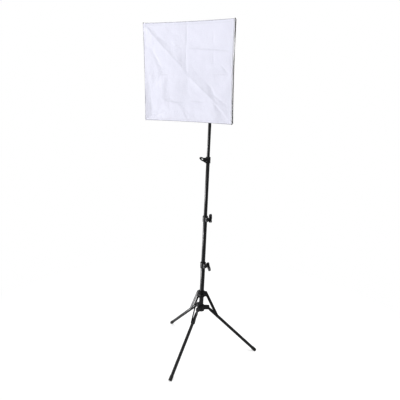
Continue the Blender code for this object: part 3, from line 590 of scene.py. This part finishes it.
# narrow pressed lines that stay sharp: path (across, up), depth in mm, width in mm
PRESSED = (
    (((0.005, 0.95), (0.0, 0.70), (-0.01, 0.47)), 0.7, 3.0),
    (((-0.015, 0.47), (-0.02, 0.10)), 0.5, 3.5),
    (((0.03, 0.10), (0.03, -0.08), (0.06, -0.22)), -0.3, 3.0),
    (((0.05, 0.49), (0.30, 0.475), (0.58, 0.455), (0.95, 0.42)), 1.0, 3.2),
    (((-0.36, 0.62), (-0.26, 0.53), (-0.02, 0.49)), 0.5, 3.0),
    (((0.575, 0.82), (0.58, 0.56)), 0.6, 3.0),
    (((0.585, 0.40), (0.59, 0.16)), 0.6, 3.0),
    (((-0.555, -0.06), (-0.555, -0.30), (-0.56, -0.54)), 0.5, 3.2),
    (((-0.60, -0.03), (-0.42, -0.03)), 0.8, 3.0),
    (((-0.50, -0.57), (-0.25, -0.59), (-0.05, -0.60)), 0.9, 3.0),
    (((0.08, -0.565), (0.40, -0.58)), 0.7, 3.0),
    (((0.60, -0.02), (0.95, -0.03)), 0.6, 3.0),
    (((0.76, 0.15), (0.85, 0.06), (0.93, -0.01)), 1.0, 3.0),
    (((-0.95, -0.96), (-0.75, -0.885), (-0.60, -0.84), (-0.47, -0.76)), 0.9, 3.5),
    (((0.40, -0.15), (0.55, -0.28), (0.62, -0.44), (0.80, -0.56), (0.92, -0.66)), 0.8, 3.8),
    (((-0.95, 0.93), (-0.70, 0.68), (-0.50, 0.485), (-0.27, 0.27), (-0.08, 0.07)), -0.5, 3.8),
    (((0.10, -0.12), (0.30, -0.29), (0.50, -0.46), (0.68, -0.62), (0.90, -0.84)), -0.5, 3.8),
    (((-0.05, -0.80), (0.03, -0.95)), 0.8, 4.0),
    (((-0.35, 0.62), (-0.26, 0.56)), -0.9, 4.0),
    (((-0.57, -0.95), (-0.62, -0.86)), 0.6, 3.0),
)


def line_coords(line, across, up):
    """Distance (mm) to a polyline, and the share of the way along it."""
    nearest = np.full(across.shape, 1e9)
    share = np.zeros(across.shape)
    corners = [(x * HALF, z * HALF) for x, z in line]
    lengths = [math.hypot(x1 - x0, z1 - z0) for (x0, z0), (x1, z1) in zip(corners, corners[1:])]
    starts = np.cumsum([0] + lengths)
    x, z = across * HALF, up * HALF
    for k, ((x0, z0), (x1, z1)) in enumerate(zip(corners, corners[1:])):
        run, rise, length = x1 - x0, z1 - z0, lengths[k]
        step = np.clip(((x - x0) * run + (z - z0) * rise) / length ** 2, 0, 1)
        distance = np.hypot(x - (x0 + step * run), z - (z0 + step * rise))
        closer = distance < nearest
        nearest = np.where(closer, distance, nearest)
        share = np.where(closer, (starts[k] + step * length) / starts[-1], share)
    return nearest, share


def blur(grid, rounds):
    for _ in range(rounds):
        pad = np.pad(grid, 1, mode='edge')
        grid = (pad[:-2, 1:-1] + pad[2:, 1:-1] + pad[1:-1, :-2] + pad[1:-1, 2:]
                + 4 * pad[1:-1, 1:-1]) / 8.0
    return grid


def faceted_relief(across, up):
    """Height of the creased sheet, from triangles that keep the crease lines as edges."""
    names = list(POINTS)
    places = [Vector(POINTS[name][:2]) for name in names]
    paths = [[names.index(name) for name in crease.split()] for crease in CREASES]
    edges = [pair for path in paths for pair in zip(path, path[1:])]
    corners, _, triangles, origins, _, _ = delaunay_2d_cdt(places, edges, [], 0, 1e-5)
    heights = []
    for corner, origin in zip(corners, origins):
        if origin:
            heights.append(POINTS[names[origin[0]]][2])
            continue
        # a point made where two lines cross takes the height of its neighbours
        near = [(1.0 / ((corner - place).length + 1e-4), POINTS[name][2])
                for name, place in zip(names, places) if (corner - place).length < 0.35]
        heights.append(sum(weight * height for weight, height in near)
                       / sum(weight for weight, _ in near))
    relief = np.zeros(across.shape)
    filled = np.zeros(across.shape, bool)
    for i, j, k in (triangle[:3] for triangle in triangles):
        (x0, y0), (x1, y1), (x2, y2) = corners[i], corners[j], corners[k]
        area2 = (y1 - y2) * (x0 - x2) + (x2 - x1) * (y0 - y2)
        if abs(area2) < 1e-9:
            continue
        first = ((y1 - y2) * (across - x2) + (x2 - x1) * (up - y2)) / area2
        second = ((y2 - y0) * (across - x2) + (x0 - x2) * (up - y2)) / area2
        third = 1 - first - second
        inside = (first >= -1e-6) & (second >= -1e-6) & (third >= -1e-6) & ~filled
        height = first * heights[i] + second * heights[j] + third * heights[k]
        relief = np.where(inside, height, relief)
        filled |= inside
    return blur(relief, rounds=2)


def face_relief(across, up):
    """Height of the cloth towards the viewer (mm), and the painted shade along the pressed lines at each
    point.
    """
    relief = faceted_relief(across, up)
    crease_shade = np.zeros(across.shape)
    for line, depth, width in PRESSED:
        distance, share = line_coords(line, across, up)
        press = np.sin(np.clip(share, 0, 1) * pi) ** 0.4 * np.exp(-(distance / width) ** 2)
        relief -= depth * press
        if depth > 0:
            # painted shade in the colour along the pressed lines, strongest on lines that run sideways,
            # which the light from the side leaves unshaded
            run, rise = abs(line[-1][0] - line[0][0]), abs(line[-1][1] - line[0][1])
            tone = smoothstep(0.45, 0.95, run / (run + rise))
            crease_shade = np.maximum(crease_shade, press * depth * tone)
    return relief * 0.92 - 1.5 * (1 - across ** 2) * (1 - up ** 2), crease_shade


def grid_noise(across, up, scale, seed):
    out = np.zeros(across.shape)
    for i in np.ndindex(across.shape):
        out[i] = noise.noise(Vector((float(across[i]) * scale + seed,
                                     float(up[i]) * scale - seed, seed * 0.37)))
    return out


def face_grid(count):
    steps = np.linspace(-1, 1, count)
    return np.meshgrid(steps, steps, indexing='ij')


def rim_share(across, up):
    """Distance in from the nearest edge, as a share of HALF."""
    return np.minimum(np.minimum(1 - across, 1 + across), np.minimum(1 - up, 1 + up))


def settle_sheet(count=43, frames=16):
    """Simulate the sheet held round its rim by the hem: how far it moves off its plane (mm)."""
    across, up = face_grid(count)
    still = np.zeros((count, count))
    start = 0.8 * grid_noise(across, up, 2.1, 7.3) + 0.4 * grid_noise(across, up, 5.0, 3.1)
    start *= np.minimum(1.0, 6.0 * rim_share(across, up))
    mesh = bpy.data.meshes.new("sheet")
    place = HEAD @ Matrix.Scale(MM, 4)
    mesh.from_pydata(
        [place @ Vector((across[i, j] * HALF, Y_FACE - start[i, j], LAMP_UP + up[i, j] * HALF))
         for i in range(count) for j in range(count)], [],
        [(i * count + j, (i + 1) * count + j, (i + 1) * count + j + 1, i * count + j + 1)
         for i in range(count - 1) for j in range(count - 1)])
    ob = bpy.data.objects.new("sheet", mesh)
    scene.collection.objects.link(ob)
    ends = (0, count - 1)
    ob.vertex_groups.new(name="pin").add(
        [i * count + j for i in range(count) for j in range(count) if i in ends or j in ends],
        1.0, 'REPLACE')
    modifier = ob.modifiers.new("cloth", 'CLOTH')
    cloth = modifier.settings
    cloth.quality = 6
    cloth.mass = 0.15
    cloth.tension_stiffness = cloth.compression_stiffness = 15
    cloth.shear_stiffness = 5
    cloth.bending_model = 'ANGULAR'
    cloth.bending_stiffness = 0.8
    cloth.tension_damping = cloth.compression_damping = 8
    cloth.shrink_min = 0.002
    cloth.vertex_group_mass = "pin"
    modifier.collision_settings.use_collision = False
    modifier.collision_settings.use_self_collision = False
    modifier.point_cache.frame_start = 1
    modifier.point_cache.frame_end = frames
    for number in range(1, frames + 1):
        scene.frame_set(number)
    settled = ob.evaluated_get(bpy.context.evaluated_depsgraph_get())
    back = place.inverted()
    heights = [Y_FACE - (back @ vert.co).y for vert in settled.to_mesh().vertices]
    moved = np.array(heights).reshape(count, count) - start
    settled.to_mesh_clear()
    bpy.data.objects.remove(ob)
    bpy.data.meshes.remove(mesh)
    scene.frame_set(1)
    if not np.isfinite(moved).all():    # guards against a simulation that blew up
        return still
    limit = 1.6     # the furthest the settling may move the cloth
    return (moved - moved.mean() * 0.5) * min(1.0, limit / max(1e-6, float(np.abs(moved).max())))


def resample(grid, count):
    old, new = np.linspace(0, 1, grid.shape[0]), np.linspace(0, 1, count)
    rows = np.array([np.interp(new, old, row) for row in grid])
    return np.array([np.interp(new, old, column) for column in rows.T]).T


# ------------------------------------------------------------------ front diffuser
SHEET_COUNT = 141
# the hem turning over the rim: (outwards, backwards), mm
HEM_STEPS = ((0.9, 0.3), (1.8, 1.1), (2.3, 1.9), (2.5, 2.9), (2.5, 4.1), (2.4, 5.2), (2.3, 6.2))


def shape_sheet():
    """Grids of place, height, painted crease shade and distance from the rim for the front cloth."""
    across, up = face_grid(SHEET_COUNT)
    relief, crease_shade = face_relief(across, up)
    relief += (0.6 * grid_noise(across, up, 3.1, 4.2) + 0.30 * grid_noise(across, up, 9.0, 11.7)
               + resample(settle_sheet(), SHEET_COUNT))
    rim = rim_share(across, up) * HALF
    relief *= smoothstep(0.0, 9.0, rim)
    face = HALF - 1.6
    # the right edge lies a little further in
    x = across * (face - BOW * (1 - up ** 2) * across ** 2) - 1.6 * smoothstep(0.6, 1.0, across)
    z = up * (face - BOW * (1 - across ** 2) * up ** 2)
    return SimpleNamespace(across=across, up=up, x=x, z=z, relief=relief, crease_shade=crease_shade, rim=rim)


def hem_ring(bm, sheet, border, step, outwards, backwards):
    """One ring of the turned hem, its width wandering a little and its edge rippled."""
    last = SHEET_COUNT - 1
    ring = []
    for i, j in border:
        across, up = sheet.across[i, j], sheet.up[i, j]
        side_x = 1 if i == last else -1 if i == 0 else 0
        side_z = 1 if j == last else -1 if j == 0 else 0
        extra = 1.5 * min(1.0, backwards / 1.9) if i == last else 0
        ripple = 0.35 * wobble(across * 22, up * 22, step * 0.3, 5.5) * min(1.0, backwards / 6.0)
        width = (1.0 + 0.14 * wobble(across * 4, up * 4, 0, 3.3)
                 + 0.06 * wobble(across * 15, up * 15, 0, 8.1))
        if i == last:       # wider patch on the right side, above the middle
            width += 1.30 * exp(-((up - 0.47) / 0.15) ** 2) + 0.05 * exp(-((up - 0.1) / 0.2) ** 2)
        ring.append(bm.verts.new((
            sheet.x[i, j] + side_x * (outwards + extra + ripple),
            Y_FACE + backwards * (width if backwards > 3 else 1.0),
            LAMP_UP + sheet.z[i, j] + side_z * (outwards + ripple))))
    return ring


def build_diffuser():
    """White front cloth with its hem lying on the black band."""
    sheet = shape_sheet()
    count, last = SHEET_COUNT, SHEET_COUNT - 1
    bm = bmesh.new()
    uv_layer = bm.loops.layers.uv.new("UVMap")
    hem_stitch_and_shade, crease_shade, hem_painted_light = [bm.verts.layers.float.new(n) for n in ("hem_stitch_and_shade", "crease_shade", "hem_painted_light")]
    grid = [[bm.verts.new((sheet.x[i, j], Y_FACE - sheet.relief[i, j], LAMP_UP + sheet.z[i, j]))
             for j in range(count)] for i in range(count)]
    for i in range(last):
        for j in range(last):
            corners = ((i, j), (i + 1, j), (i + 1, j + 1), (i, j + 1))
            face = bm.faces.new([grid[a][b] for a, b in corners])
            for loop, corner in zip(face.loops, corners):
                loop[uv_layer].uv = (sheet.x[corner] * MM, sheet.z[corner] * MM)
    border = ([(i, 0) for i in range(last)] + [(last, j) for j in range(last)]
              + [(i, last) for i in range(last, 0, -1)] + [(0, j) for j in range(last, 0, -1)])
    ring = [grid[i][j] for i, j in border]
    for step, (outwards, backwards) in enumerate(HEM_STEPS):
        inner, ring = ring, hem_ring(bm, sheet, border, step, outwards, backwards)
        for (_, j), face in zip(border, join_rings(bm, inner, ring)):
            for loop in face.loops:
                x, y, z = loop.vert.co
                loop[uv_layer].uv = (x * MM, y * MM) if j in (0, last) else (y * MM, z * MM)
        # painted light: the hem turned over the rim gets a near-white colour, as if light fell on it
        for vert in ring:
            vert[hem_painted_light] = 1.0
    for i in range(count):
        for j in range(count):
            # the stitched line of the hem runs a little inside the rim; its darker band is partly the
            # doubled cloth and partly painted shade
            grid[i][j][hem_stitch_and_shade] = exp(-((sheet.rim[i, j] - 9.5) / 2.6) ** 2)
            # painted shade along the pressed lines
            grid[i][j][crease_shade] = float(sheet.crease_shade[i, j])
    diffuser = finish("diffusion_cloth", bm, MAT_CLOTH, smooth=None, weld=0)
    solidify(diffuser, 0.6)
    attach(diffuser, replaces="front_diffuser")


# ------------------------------------------------------------------ black shell with silver lining
SIDE_STEPS = 30


def side_point(side, t, half, bow):
    """(x, z) on a side, t from -1 to 1 along it, anticlockwise seen from the front."""
    away = half - bow * (1 - t * t)
    along = t * half
    return ((along, -away), (away, along), (-along, away), (-away, -along))[side]


def shell_section(y):
    """Half-size, and how far the side's middle pulls in, at depth y."""
    if y <= Y_SEAM:
        share = (y - Y_SEAM) / (Y_RIM - Y_SEAM)
        return SEAM_HALF + (RIM_HALF - SEAM_HALF) * share, BOW
    share = (y - Y_BACK) / (Y_SEAM - Y_BACK)
    half = BACK_HALF + (SEAM_HALF - BACK_HALF) * share
    return half, BOW * share + 9.0 * sin(pi * min(1.0, share)) ** 0.8


def panel_relief(side, t, depth, half):
    """Outward height of the cloth; depth is 0 at the rear opening and 1 at the band seam."""
    if depth >= 1.0:
        return 0.35 * wobble(t * 12 + side * 5, depth * 8, side, 9.0)
    if depth <= 0.02:
        return 0.0
    from_corner = 1 - abs(t)
    # tension pleats fan from the rear collar, and soft creases cross the panel
    fan = sin(t * 17 + side * 1.3 + 0.8 * sin(depth * 5 + side)) * exp(-depth * 3.2) * 1.9
    soft = (2.2 * wobble(t * 1.6 + side * 9, depth * 3.0, side, 2.0)
            + 1.0 * wobble(t * 5 + side * 3, depth * 8, side, 6.0))
    relief = (fan + soft) * min(1.0, from_corner * 5) * min(1.0, (1 - depth) * 9)
    # creases where the panel folds for storage: one along its middle, one across it
    relief += -1.6 * exp(-abs(t) * half / 7.0) * sin(pi * depth)
    relief += 1.2 * exp(-abs(depth - 0.52) * PANEL_DEPTH / 6.0) * min(1.0, from_corner * 4)
    return relief


def build_shell():
    """Four tapering panels and the straight band in front of them."""
    depths = (list(np.linspace(Y_BACK, Y_SEAM + 1.5, 34)) + [Y_SEAM - 0.5]
              + list(np.linspace(Y_SEAM - 4, Y_RIM, 7)))
    bm = bmesh.new()
    uv_layer = bm.loops.layers.uv.new("UVMap")
    rings = []
    for y in depths:
        half, bow = shell_section(y)
        depth = (y - Y_BACK) / (Y_SEAM - Y_BACK)
        ring = []
        for side, (out_x, out_z) in enumerate(OUTWARD):
            for i in range(SIDE_STEPS):
                t = -1 + 2 * i / SIDE_STEPS
                x, z = side_point(side, t, half, bow)
                relief = panel_relief(side, t, depth, half)
                ring.append(bm.verts.new((x + out_x * relief, y, LAMP_UP + z + out_z * relief)))
        rings.append(ring)
    for row in range(len(rings) - 1):
        for i, face in enumerate(join_rings(bm, rings[row], rings[row + 1])):
            side, start = divmod(i, SIDE_STEPS)
            corners = ((row, start), (row, start + 1), (row + 1, start + 1), (row + 1, start))
            for loop, (level, step) in zip(face.loops, corners):
                half, _ = shell_section(depths[level])
                t = -1 + 2 * step / SIDE_STEPS
                # each side has its own UV column; 1.18 allows for the panel's slope
                loop[uv_layer].uv = (t * half * MM + side, depths[level] * 1.18 * MM)
    shell = finish("softbox_panels", bm, MAT_SHELL, smooth=32.0, weld=0)
    shell.data.materials.append(MAT_LINING)
    face_outwards(shell, centre_y=-180)
    modifier = solidify(shell, 1.2)
    modifier.material_offset = 1
    modifier.material_offset_rim = 0
    attach(shell, replaces="softbox_shell")


# ------------------------------------------------------------------ trim of the shell
def rim_path(y, lift, steps=40):
    """Closed path round the box at depth y, lift mm above the cloth."""
    half, bow = shell_section(y)
    points = []
    for side in range(4):
        for i in range(steps):
            x, z = side_point(side, -1 + 2 * i / steps, half + lift, bow)
            points.append(Vector((x, y, LAMP_UP + z)))
    return points


def point_along(points, lengths, distance):
    """Place and direction at a distance along a path."""
    for start, end, length in zip(points, points[1:], lengths):
        if distance <= length:
            return start.lerp(end, distance / length), (end - start).normalized()
        distance -= length


def add_stitches(bm, path, length=3.2, gap=1.3, radius=0.42):
    """Row of raised thread stitches, pointed at both ends, round a closed path."""
    points = path + path[:1]
    lengths = [(end - start).length for start, end in zip(points, points[1:])]
    total = sum(lengths)
    distance = gap
    while distance + length < total:
        centre, along = point_along(points, lengths, distance + length / 2)
        side = along.orthogonal().normalized()
        lift = along.cross(side)
        start, end = [bm.verts.new(centre + sign * along * length / 2) for sign in (-1, 1)]
        first, second = [
            [bm.verts.new(centre + sign * along * length * 0.30
                          + radius * (cos(k * pi / 2.5) * side + sin(k * pi / 2.5) * lift))
             for k in range(5)] for sign in (-1, 1)]
        for k in range(5):
            m = (k + 1) % 5
            bm.faces.new((start, first[m], first[k]))
            bm.faces.new((first[k], first[m], second[m], second[k]))
            bm.faces.new((second[k], second[m], end))
        distance += length + gap


def build_band_seam():
    """Raised cord round the rear of the band, and two rows of stitches in front of it."""
    cord = sweep(rim_path(Y_SEAM + 0.5, 0.3), 1.1, seg=8, closed=True)
    attach(finish("band_seam_cord", cord, MAT_WEB, smooth=60))
    rows = bmesh.new()
    for y in (Y_SEAM - 3.6, Y_RIM + 14.5):
        add_stitches(rows, rim_path(y, 0.25))
    attach(finish("band_stitching", rows, MAT_THREAD, smooth=60, weld=0))


def build_painted_shade_tape():
    """Grey tape along the top, left and bottom of the front rim: painted shade standing in for the white
    hem lying in shade there.
    """
    points = []
    for side in (2, 3, 0):
        for i in range(49):
            x, z = side_point(side, -0.985 + 1.97 * i / 48, HALF - 0.2, BOW)
            y = Y_FACE + 0.9 + 0.3 * wobble(x / 60, z / 60, 0, 1.1)
            points.append(Vector((x, y, LAMP_UP + z)))
    tape = finish("hem_tape_painted_shade", sweep(points, 1.35), MAT_PAINTED_SHADE_TAPE, smooth=60)
    attach(tape)


def build_corner_piping(corner, side_x, side_z):
    """Piping along one sloping edge of the box."""
    points = []
    for y in np.linspace(Y_BACK - 1.0, Y_RIM + 1.5, 40):
        away = shell_section(y)[0] + 0.6
        points.append(Vector((side_x * away, y, LAMP_UP + side_z * away)))
    piping = sweep(points, 1.7, up=Vector((0, 0, 1)))
    attach(finish("corner_piping_" + corner, piping, MAT_WEB, smooth=60))


def build_corner_pocket(corner, side_x, side_z):
    """Webbing folded over a front corner to hold a rod end."""
    flap, bend = 24, 4.0
    bm = bmesh.new()
    rows = []
    for y in np.linspace(-356.0, -337.5, 6):
        away = shell_section(y)[0] + 1.9
        flat = [away - flap + flap * k / 6 for k in range(5)]
        angles = [radians(90 - 90 * k / 5) for k in range(6)]
        line = ([(x, away) for x in flat]
                + [(away - bend + bend * cos(a), away - bend + bend * sin(a)) for a in angles]
                + [(away, z) for z in reversed(flat)])
        rows.append([bm.verts.new((side_x * x, y, LAMP_UP + side_z * z)) for x, z in line])
    for first, second in zip(rows, rows[1:]):
        for k in range(len(first) - 1):
            bm.faces.new((first[k], first[k + 1], second[k + 1], second[k]))
    pocket = finish("corner_pocket_" + corner, bm, MAT_WEB, smooth=40)
    face_outwards(pocket, centre_y=-350)
    solidify(pocket, 1.3)
    attach(pocket)


# (radius, height) of the moulded tip, mm
TIP_PROFILE = ((0, -4.4), (2.0, -4.0), (3.1, -2.6), (3.5, 0.0), (3.3, 2.3), (2.1, 4.0), (0, 4.4))


def build_corner_tip(corner, side_x, side_z):
    """Moulded tip that the cloth is hooked over, turned to the corner's diagonal."""
    away = HALF - (0.6 if side_z > 0 else 1.6)
    centre = Vector((side_x * away, -361.0, LAMP_UP + side_z * away)) * MM
    place = (HEAD @ Matrix.Translation(centre)
             @ Matrix.Rotation(radians(45 * side_x * side_z), 4, 'Y'))
    tip = finish("corner_tip_" + corner, lathe(TIP_PROFILE, seg=20), MAT_NYLON, place, smooth=60)
    attach(tip)


def gather(angle):
    """24 gathers round the rear opening, unevenly spaced."""
    return sin(24 * angle + 0.7 * sin(3 * angle))


def build_rear_collar():
    """Cloth gathered by elastic round the lamp housing."""
    bm = bmesh.new()
    uv_layer = bm.loops.layers.uv.new("UVMap")
    rows = 12
    angles = [2 * pi * i / COLLAR_STEPS for i in range(COLLAR_STEPS)]
    rings = []
    for row in range(rows + 1):
        share = row / rows      # 0 at the square outer edge, 1 at the round opening
        ring = []
        for angle in angles:
            outer = (BACK_HALF - 0.6) / max(abs(cos(angle)), abs(sin(angle)))
            radius = outer + (COLLAR_RADIUS - outer) * share
            pleat = (0.3 + 1.3 * share) * gather(angle)
            y = COLLAR_Y + 0.8 * pleat * share ** 0.7 - 1.2 * sin(pi * share)
            ring.append(bm.verts.new((radius * cos(angle), y, LAMP_UP + radius * sin(angle))))
        rings.append(ring)
    for first, second in zip(rings, rings[1:]):
        for face in join_rings(bm, first, second):
            for loop in face.loops:
                loop[uv_layer].uv = (loop.vert.co.x * MM, loop.vert.co.z * MM)
    collar = finish("rear_collar", bm, MAT_SHELL, smooth=None, weld=0)
    solidify(collar, 0.8, offset=0.0)
    attach(collar)

    points = [Vector((COLLAR_RADIUS * cos(angle), COLLAR_Y + gather(angle),
                      LAMP_UP + COLLAR_RADIUS * sin(angle))) for angle in angles]
    elastic = sweep(points, 1.9, closed=True)
    attach(finish("rear_collar_elastic", elastic, MAT_WEB, smooth=60))


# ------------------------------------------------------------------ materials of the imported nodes
NODE_MATERIALS = {
    "base_tube": MAT_TUBE, "section_2_tube": MAT_TUBE, "section_3_tube": MAT_TUBE,
    "section_4_tube": MAT_TUBE, "leg_tube_right": MAT_TUBE, "leg_tube_back": MAT_TUBE,
    "leg_tube_front": MAT_TUBE, "top_spigot": MAT_SPIGOT, "lamp_housing": MAT_HOUSING,
    "housing_rear_cap": MAT_HOUSING, "power_inlet": MAT_NYLON, "mounting_ring": MAT_ALLOY,
    "lamp_socket": MAT_SOCKET, "bulb_cap": MAT_CAP, "bulb_ballast": MAT_BALLAST,
    "bulb_spiral": MAT_GLASS, "power_switch": MAT_ROCKER,
}
PREFIX_MATERIALS = (
    (("strut_bar",), MAT_BAR),
    (("clamp_screw", "leg_rivet", "strut_rivet", "strut_bush"), MAT_SCREW),
    (("tilt_bolt",), MAT_STEEL),
    (("clamp_collar", "clamp_knob", "leg_hub", "leg_plug", "slider", "bracket", "tilt_knob"),
     MAT_NYLON),
    (("rubber_foot",), MAT_RUBBER),
    (("rod_",), MAT_ROD),
)


def repaint_nodes():
    for node, material in NODE_MATERIALS.items():
        repaint(node, material)
    for node in list(frame["nodes"]):
        for prefixes, material in PREFIX_MATERIALS:
            if node.startswith(prefixes):
                repaint(node, material)


# ------------------------------------------------------------------ stage, light and camera
def floor_material():
    """White floor that fades to pure glowing white away from the stand."""
    mat = Material("floor_white")
    coords = mat.coords()
    color = mat.ramp(mat.noise(coords, scale=2.0),
                     (0.3, (0.90, 0.90, 0.905)), (0.7, (0.93, 0.93, 0.935)))
    grain = mat.noise(coords, scale=220.0, detail=3)
    mat.done(Base_Color=color, Roughness=0.9, Specular_IOR_Level=0.1,
             Normal=mat.bump(grain, strength=0.05, distance=0.001))
    # full strength to the camera, weak as a light on the stand
    seen = mat.node("ShaderNodeLightPath").outputs["Is Camera Ray"]
    glow = mat.node("ShaderNodeEmission", Color=WHITE,
                    Strength=mat.plus(mat.times(seen, 0.72), 0.28))
    length = mat.node("ShaderNodeVectorMath")
    length.operation = 'LENGTH'
    mat.put(length.inputs[0], coords)
    reach = 4.0     # metres from the origin
    far = mat.ramp(mat.maths('DIVIDE', length.outputs["Value"], reach), (0.02, 0.55), (0.45, 1.0))
    mat.surface(mat.mix_shader(far, mat.principled.outputs[0], glow.outputs[0]))
    return mat.material


def build_floor():
    material = floor_material()
    bm = bmesh.new()
    bmesh.ops.create_circle(bm, cap_ends=True, radius=60000.0, segments=64)
    floor = finish("floor", bm, material, place=Matrix.Identity(4), smooth=None, weld=0)
    floor.visible_shadow = False


def build_world():
    """White backdrop to the camera, dimmer as light and dimmer still in reflections."""
    world = bpy.data.worlds.new("studio_white")
    scene.world = world
    world.use_nodes = True
    graph = Graph(world.node_tree)
    glossy = graph.node("ShaderNodeLightPath").outputs["Is Glossy Ray"]
    ambient, glossy_change = 0.387, -0.12
    lighting = graph.tree.nodes["Background"]
    graph.put(lighting.inputs["Color"], WHITE)
    graph.put(lighting.inputs["Strength"],
              graph.maths('MULTIPLY_ADD', glossy, glossy_change, ambient))
    backdrop = graph.node("ShaderNodeBackground", Color=WHITE, Strength=1.0)
    seen = graph.node("ShaderNodeLightPath").outputs["Is Camera Ray"]
    shader = graph.mix_shader(seen, lighting.outputs[0], backdrop.outputs[0])
    graph.put(graph.tree.nodes["World Output"].inputs["Surface"], shader)


def area_light(name, location, target, size, power, color=WHITE):
    """Square light aimed at a target; metres and watts."""
    light = bpy.data.lights.new(name, 'AREA')
    light.shape = 'RECTANGLE'
    light.size = light.size_y = size
    light.energy = power
    light.color = color
    ob = bpy.data.objects.new(name, light)
    scene.collection.objects.link(ob)
    ob.location = location
    aim = Vector(target) - Vector(location)
    ob.rotation_euler = aim.to_track_quat('-Z', 'Y').to_euler()
    return ob


def build_lights():
    # the key is far off to the left and below the floor, which casts no shadow
    area_light("key", location=(-17.2, -6.8, -3.75), target=(0, -0.27, 1.75), size=3.2,
               power=6350.0, color=(0.99, 0.99, 1.0))
    area_light("fill", location=(1.8, -3.4, 2.4), target=(0, 0, 1.4), size=2.4,
               power=17.5, color=(0.97, 0.98, 1.0))
    side = area_light("side", location=(3.4, 0.75, 2.0), target=(0.2, -0.2, 1.8), size=1.3,
                      power=62.0, color=(0.99, 0.99, 1.0))
    side.visible_glossy = False
    top = area_light("top", location=(0.2, 0.3, 4.6), target=(0, 0, 0.0), size=4.5, power=285.0)
    top.visible_glossy = False


def build_camera():
    """Camera on a circle round the column, looking slightly down."""
    azimuth = radians(20.8107)              # round from the front, towards the right
    heading = radians(20.8107 + 3.0252)     # azimuth plus a yaw to the left
    pitch, roll = radians(11.3595), radians(2.1459)
    distance, height = 2.5085, 1.6297
    position = Vector((COLUMN_X + sin(azimuth) * distance, COLUMN_Y - cos(azimuth) * distance,
                       height))
    forward = Vector((-sin(heading) * cos(pitch), cos(heading) * cos(pitch), -sin(pitch)))
    level = Vector((cos(heading), sin(heading), 0))
    upright = level.cross(forward)
    right = cos(roll) * level + sin(roll) * upright
    up = -sin(roll) * level + cos(roll) * upright
    data = bpy.data.cameras.new("camera")
    data.sensor_width = 36.0
    data.lens = 36.651969
    data.shift_x = 0.03587875
    data.shift_y = -0.0330725
    data.clip_start = 0.05
    camera = bpy.data.objects.new("camera", data)
    scene.collection.objects.link(camera)
    camera.matrix_world = Matrix((*zip(right, up, -forward, position), (0, 0, 0, 1)))
    scene.camera = camera


# ------------------------------------------------------------------ build
build_diffuser()
build_shell()
build_band_seam()
build_painted_shade_tape()
for corner_place in CORNERS:
    build_corner_piping(*corner_place)
for corner_place in CORNERS:
    build_corner_pocket(*corner_place)
    build_corner_tip(*corner_place)
build_rear_collar()
repaint_nodes()
build_floor()
build_world()
build_lights()
build_camera()
scene.view_settings.view_transform = 'Standard'
scene.view_settings.look = 'None'
scene.view_settings.gamma = 0.85
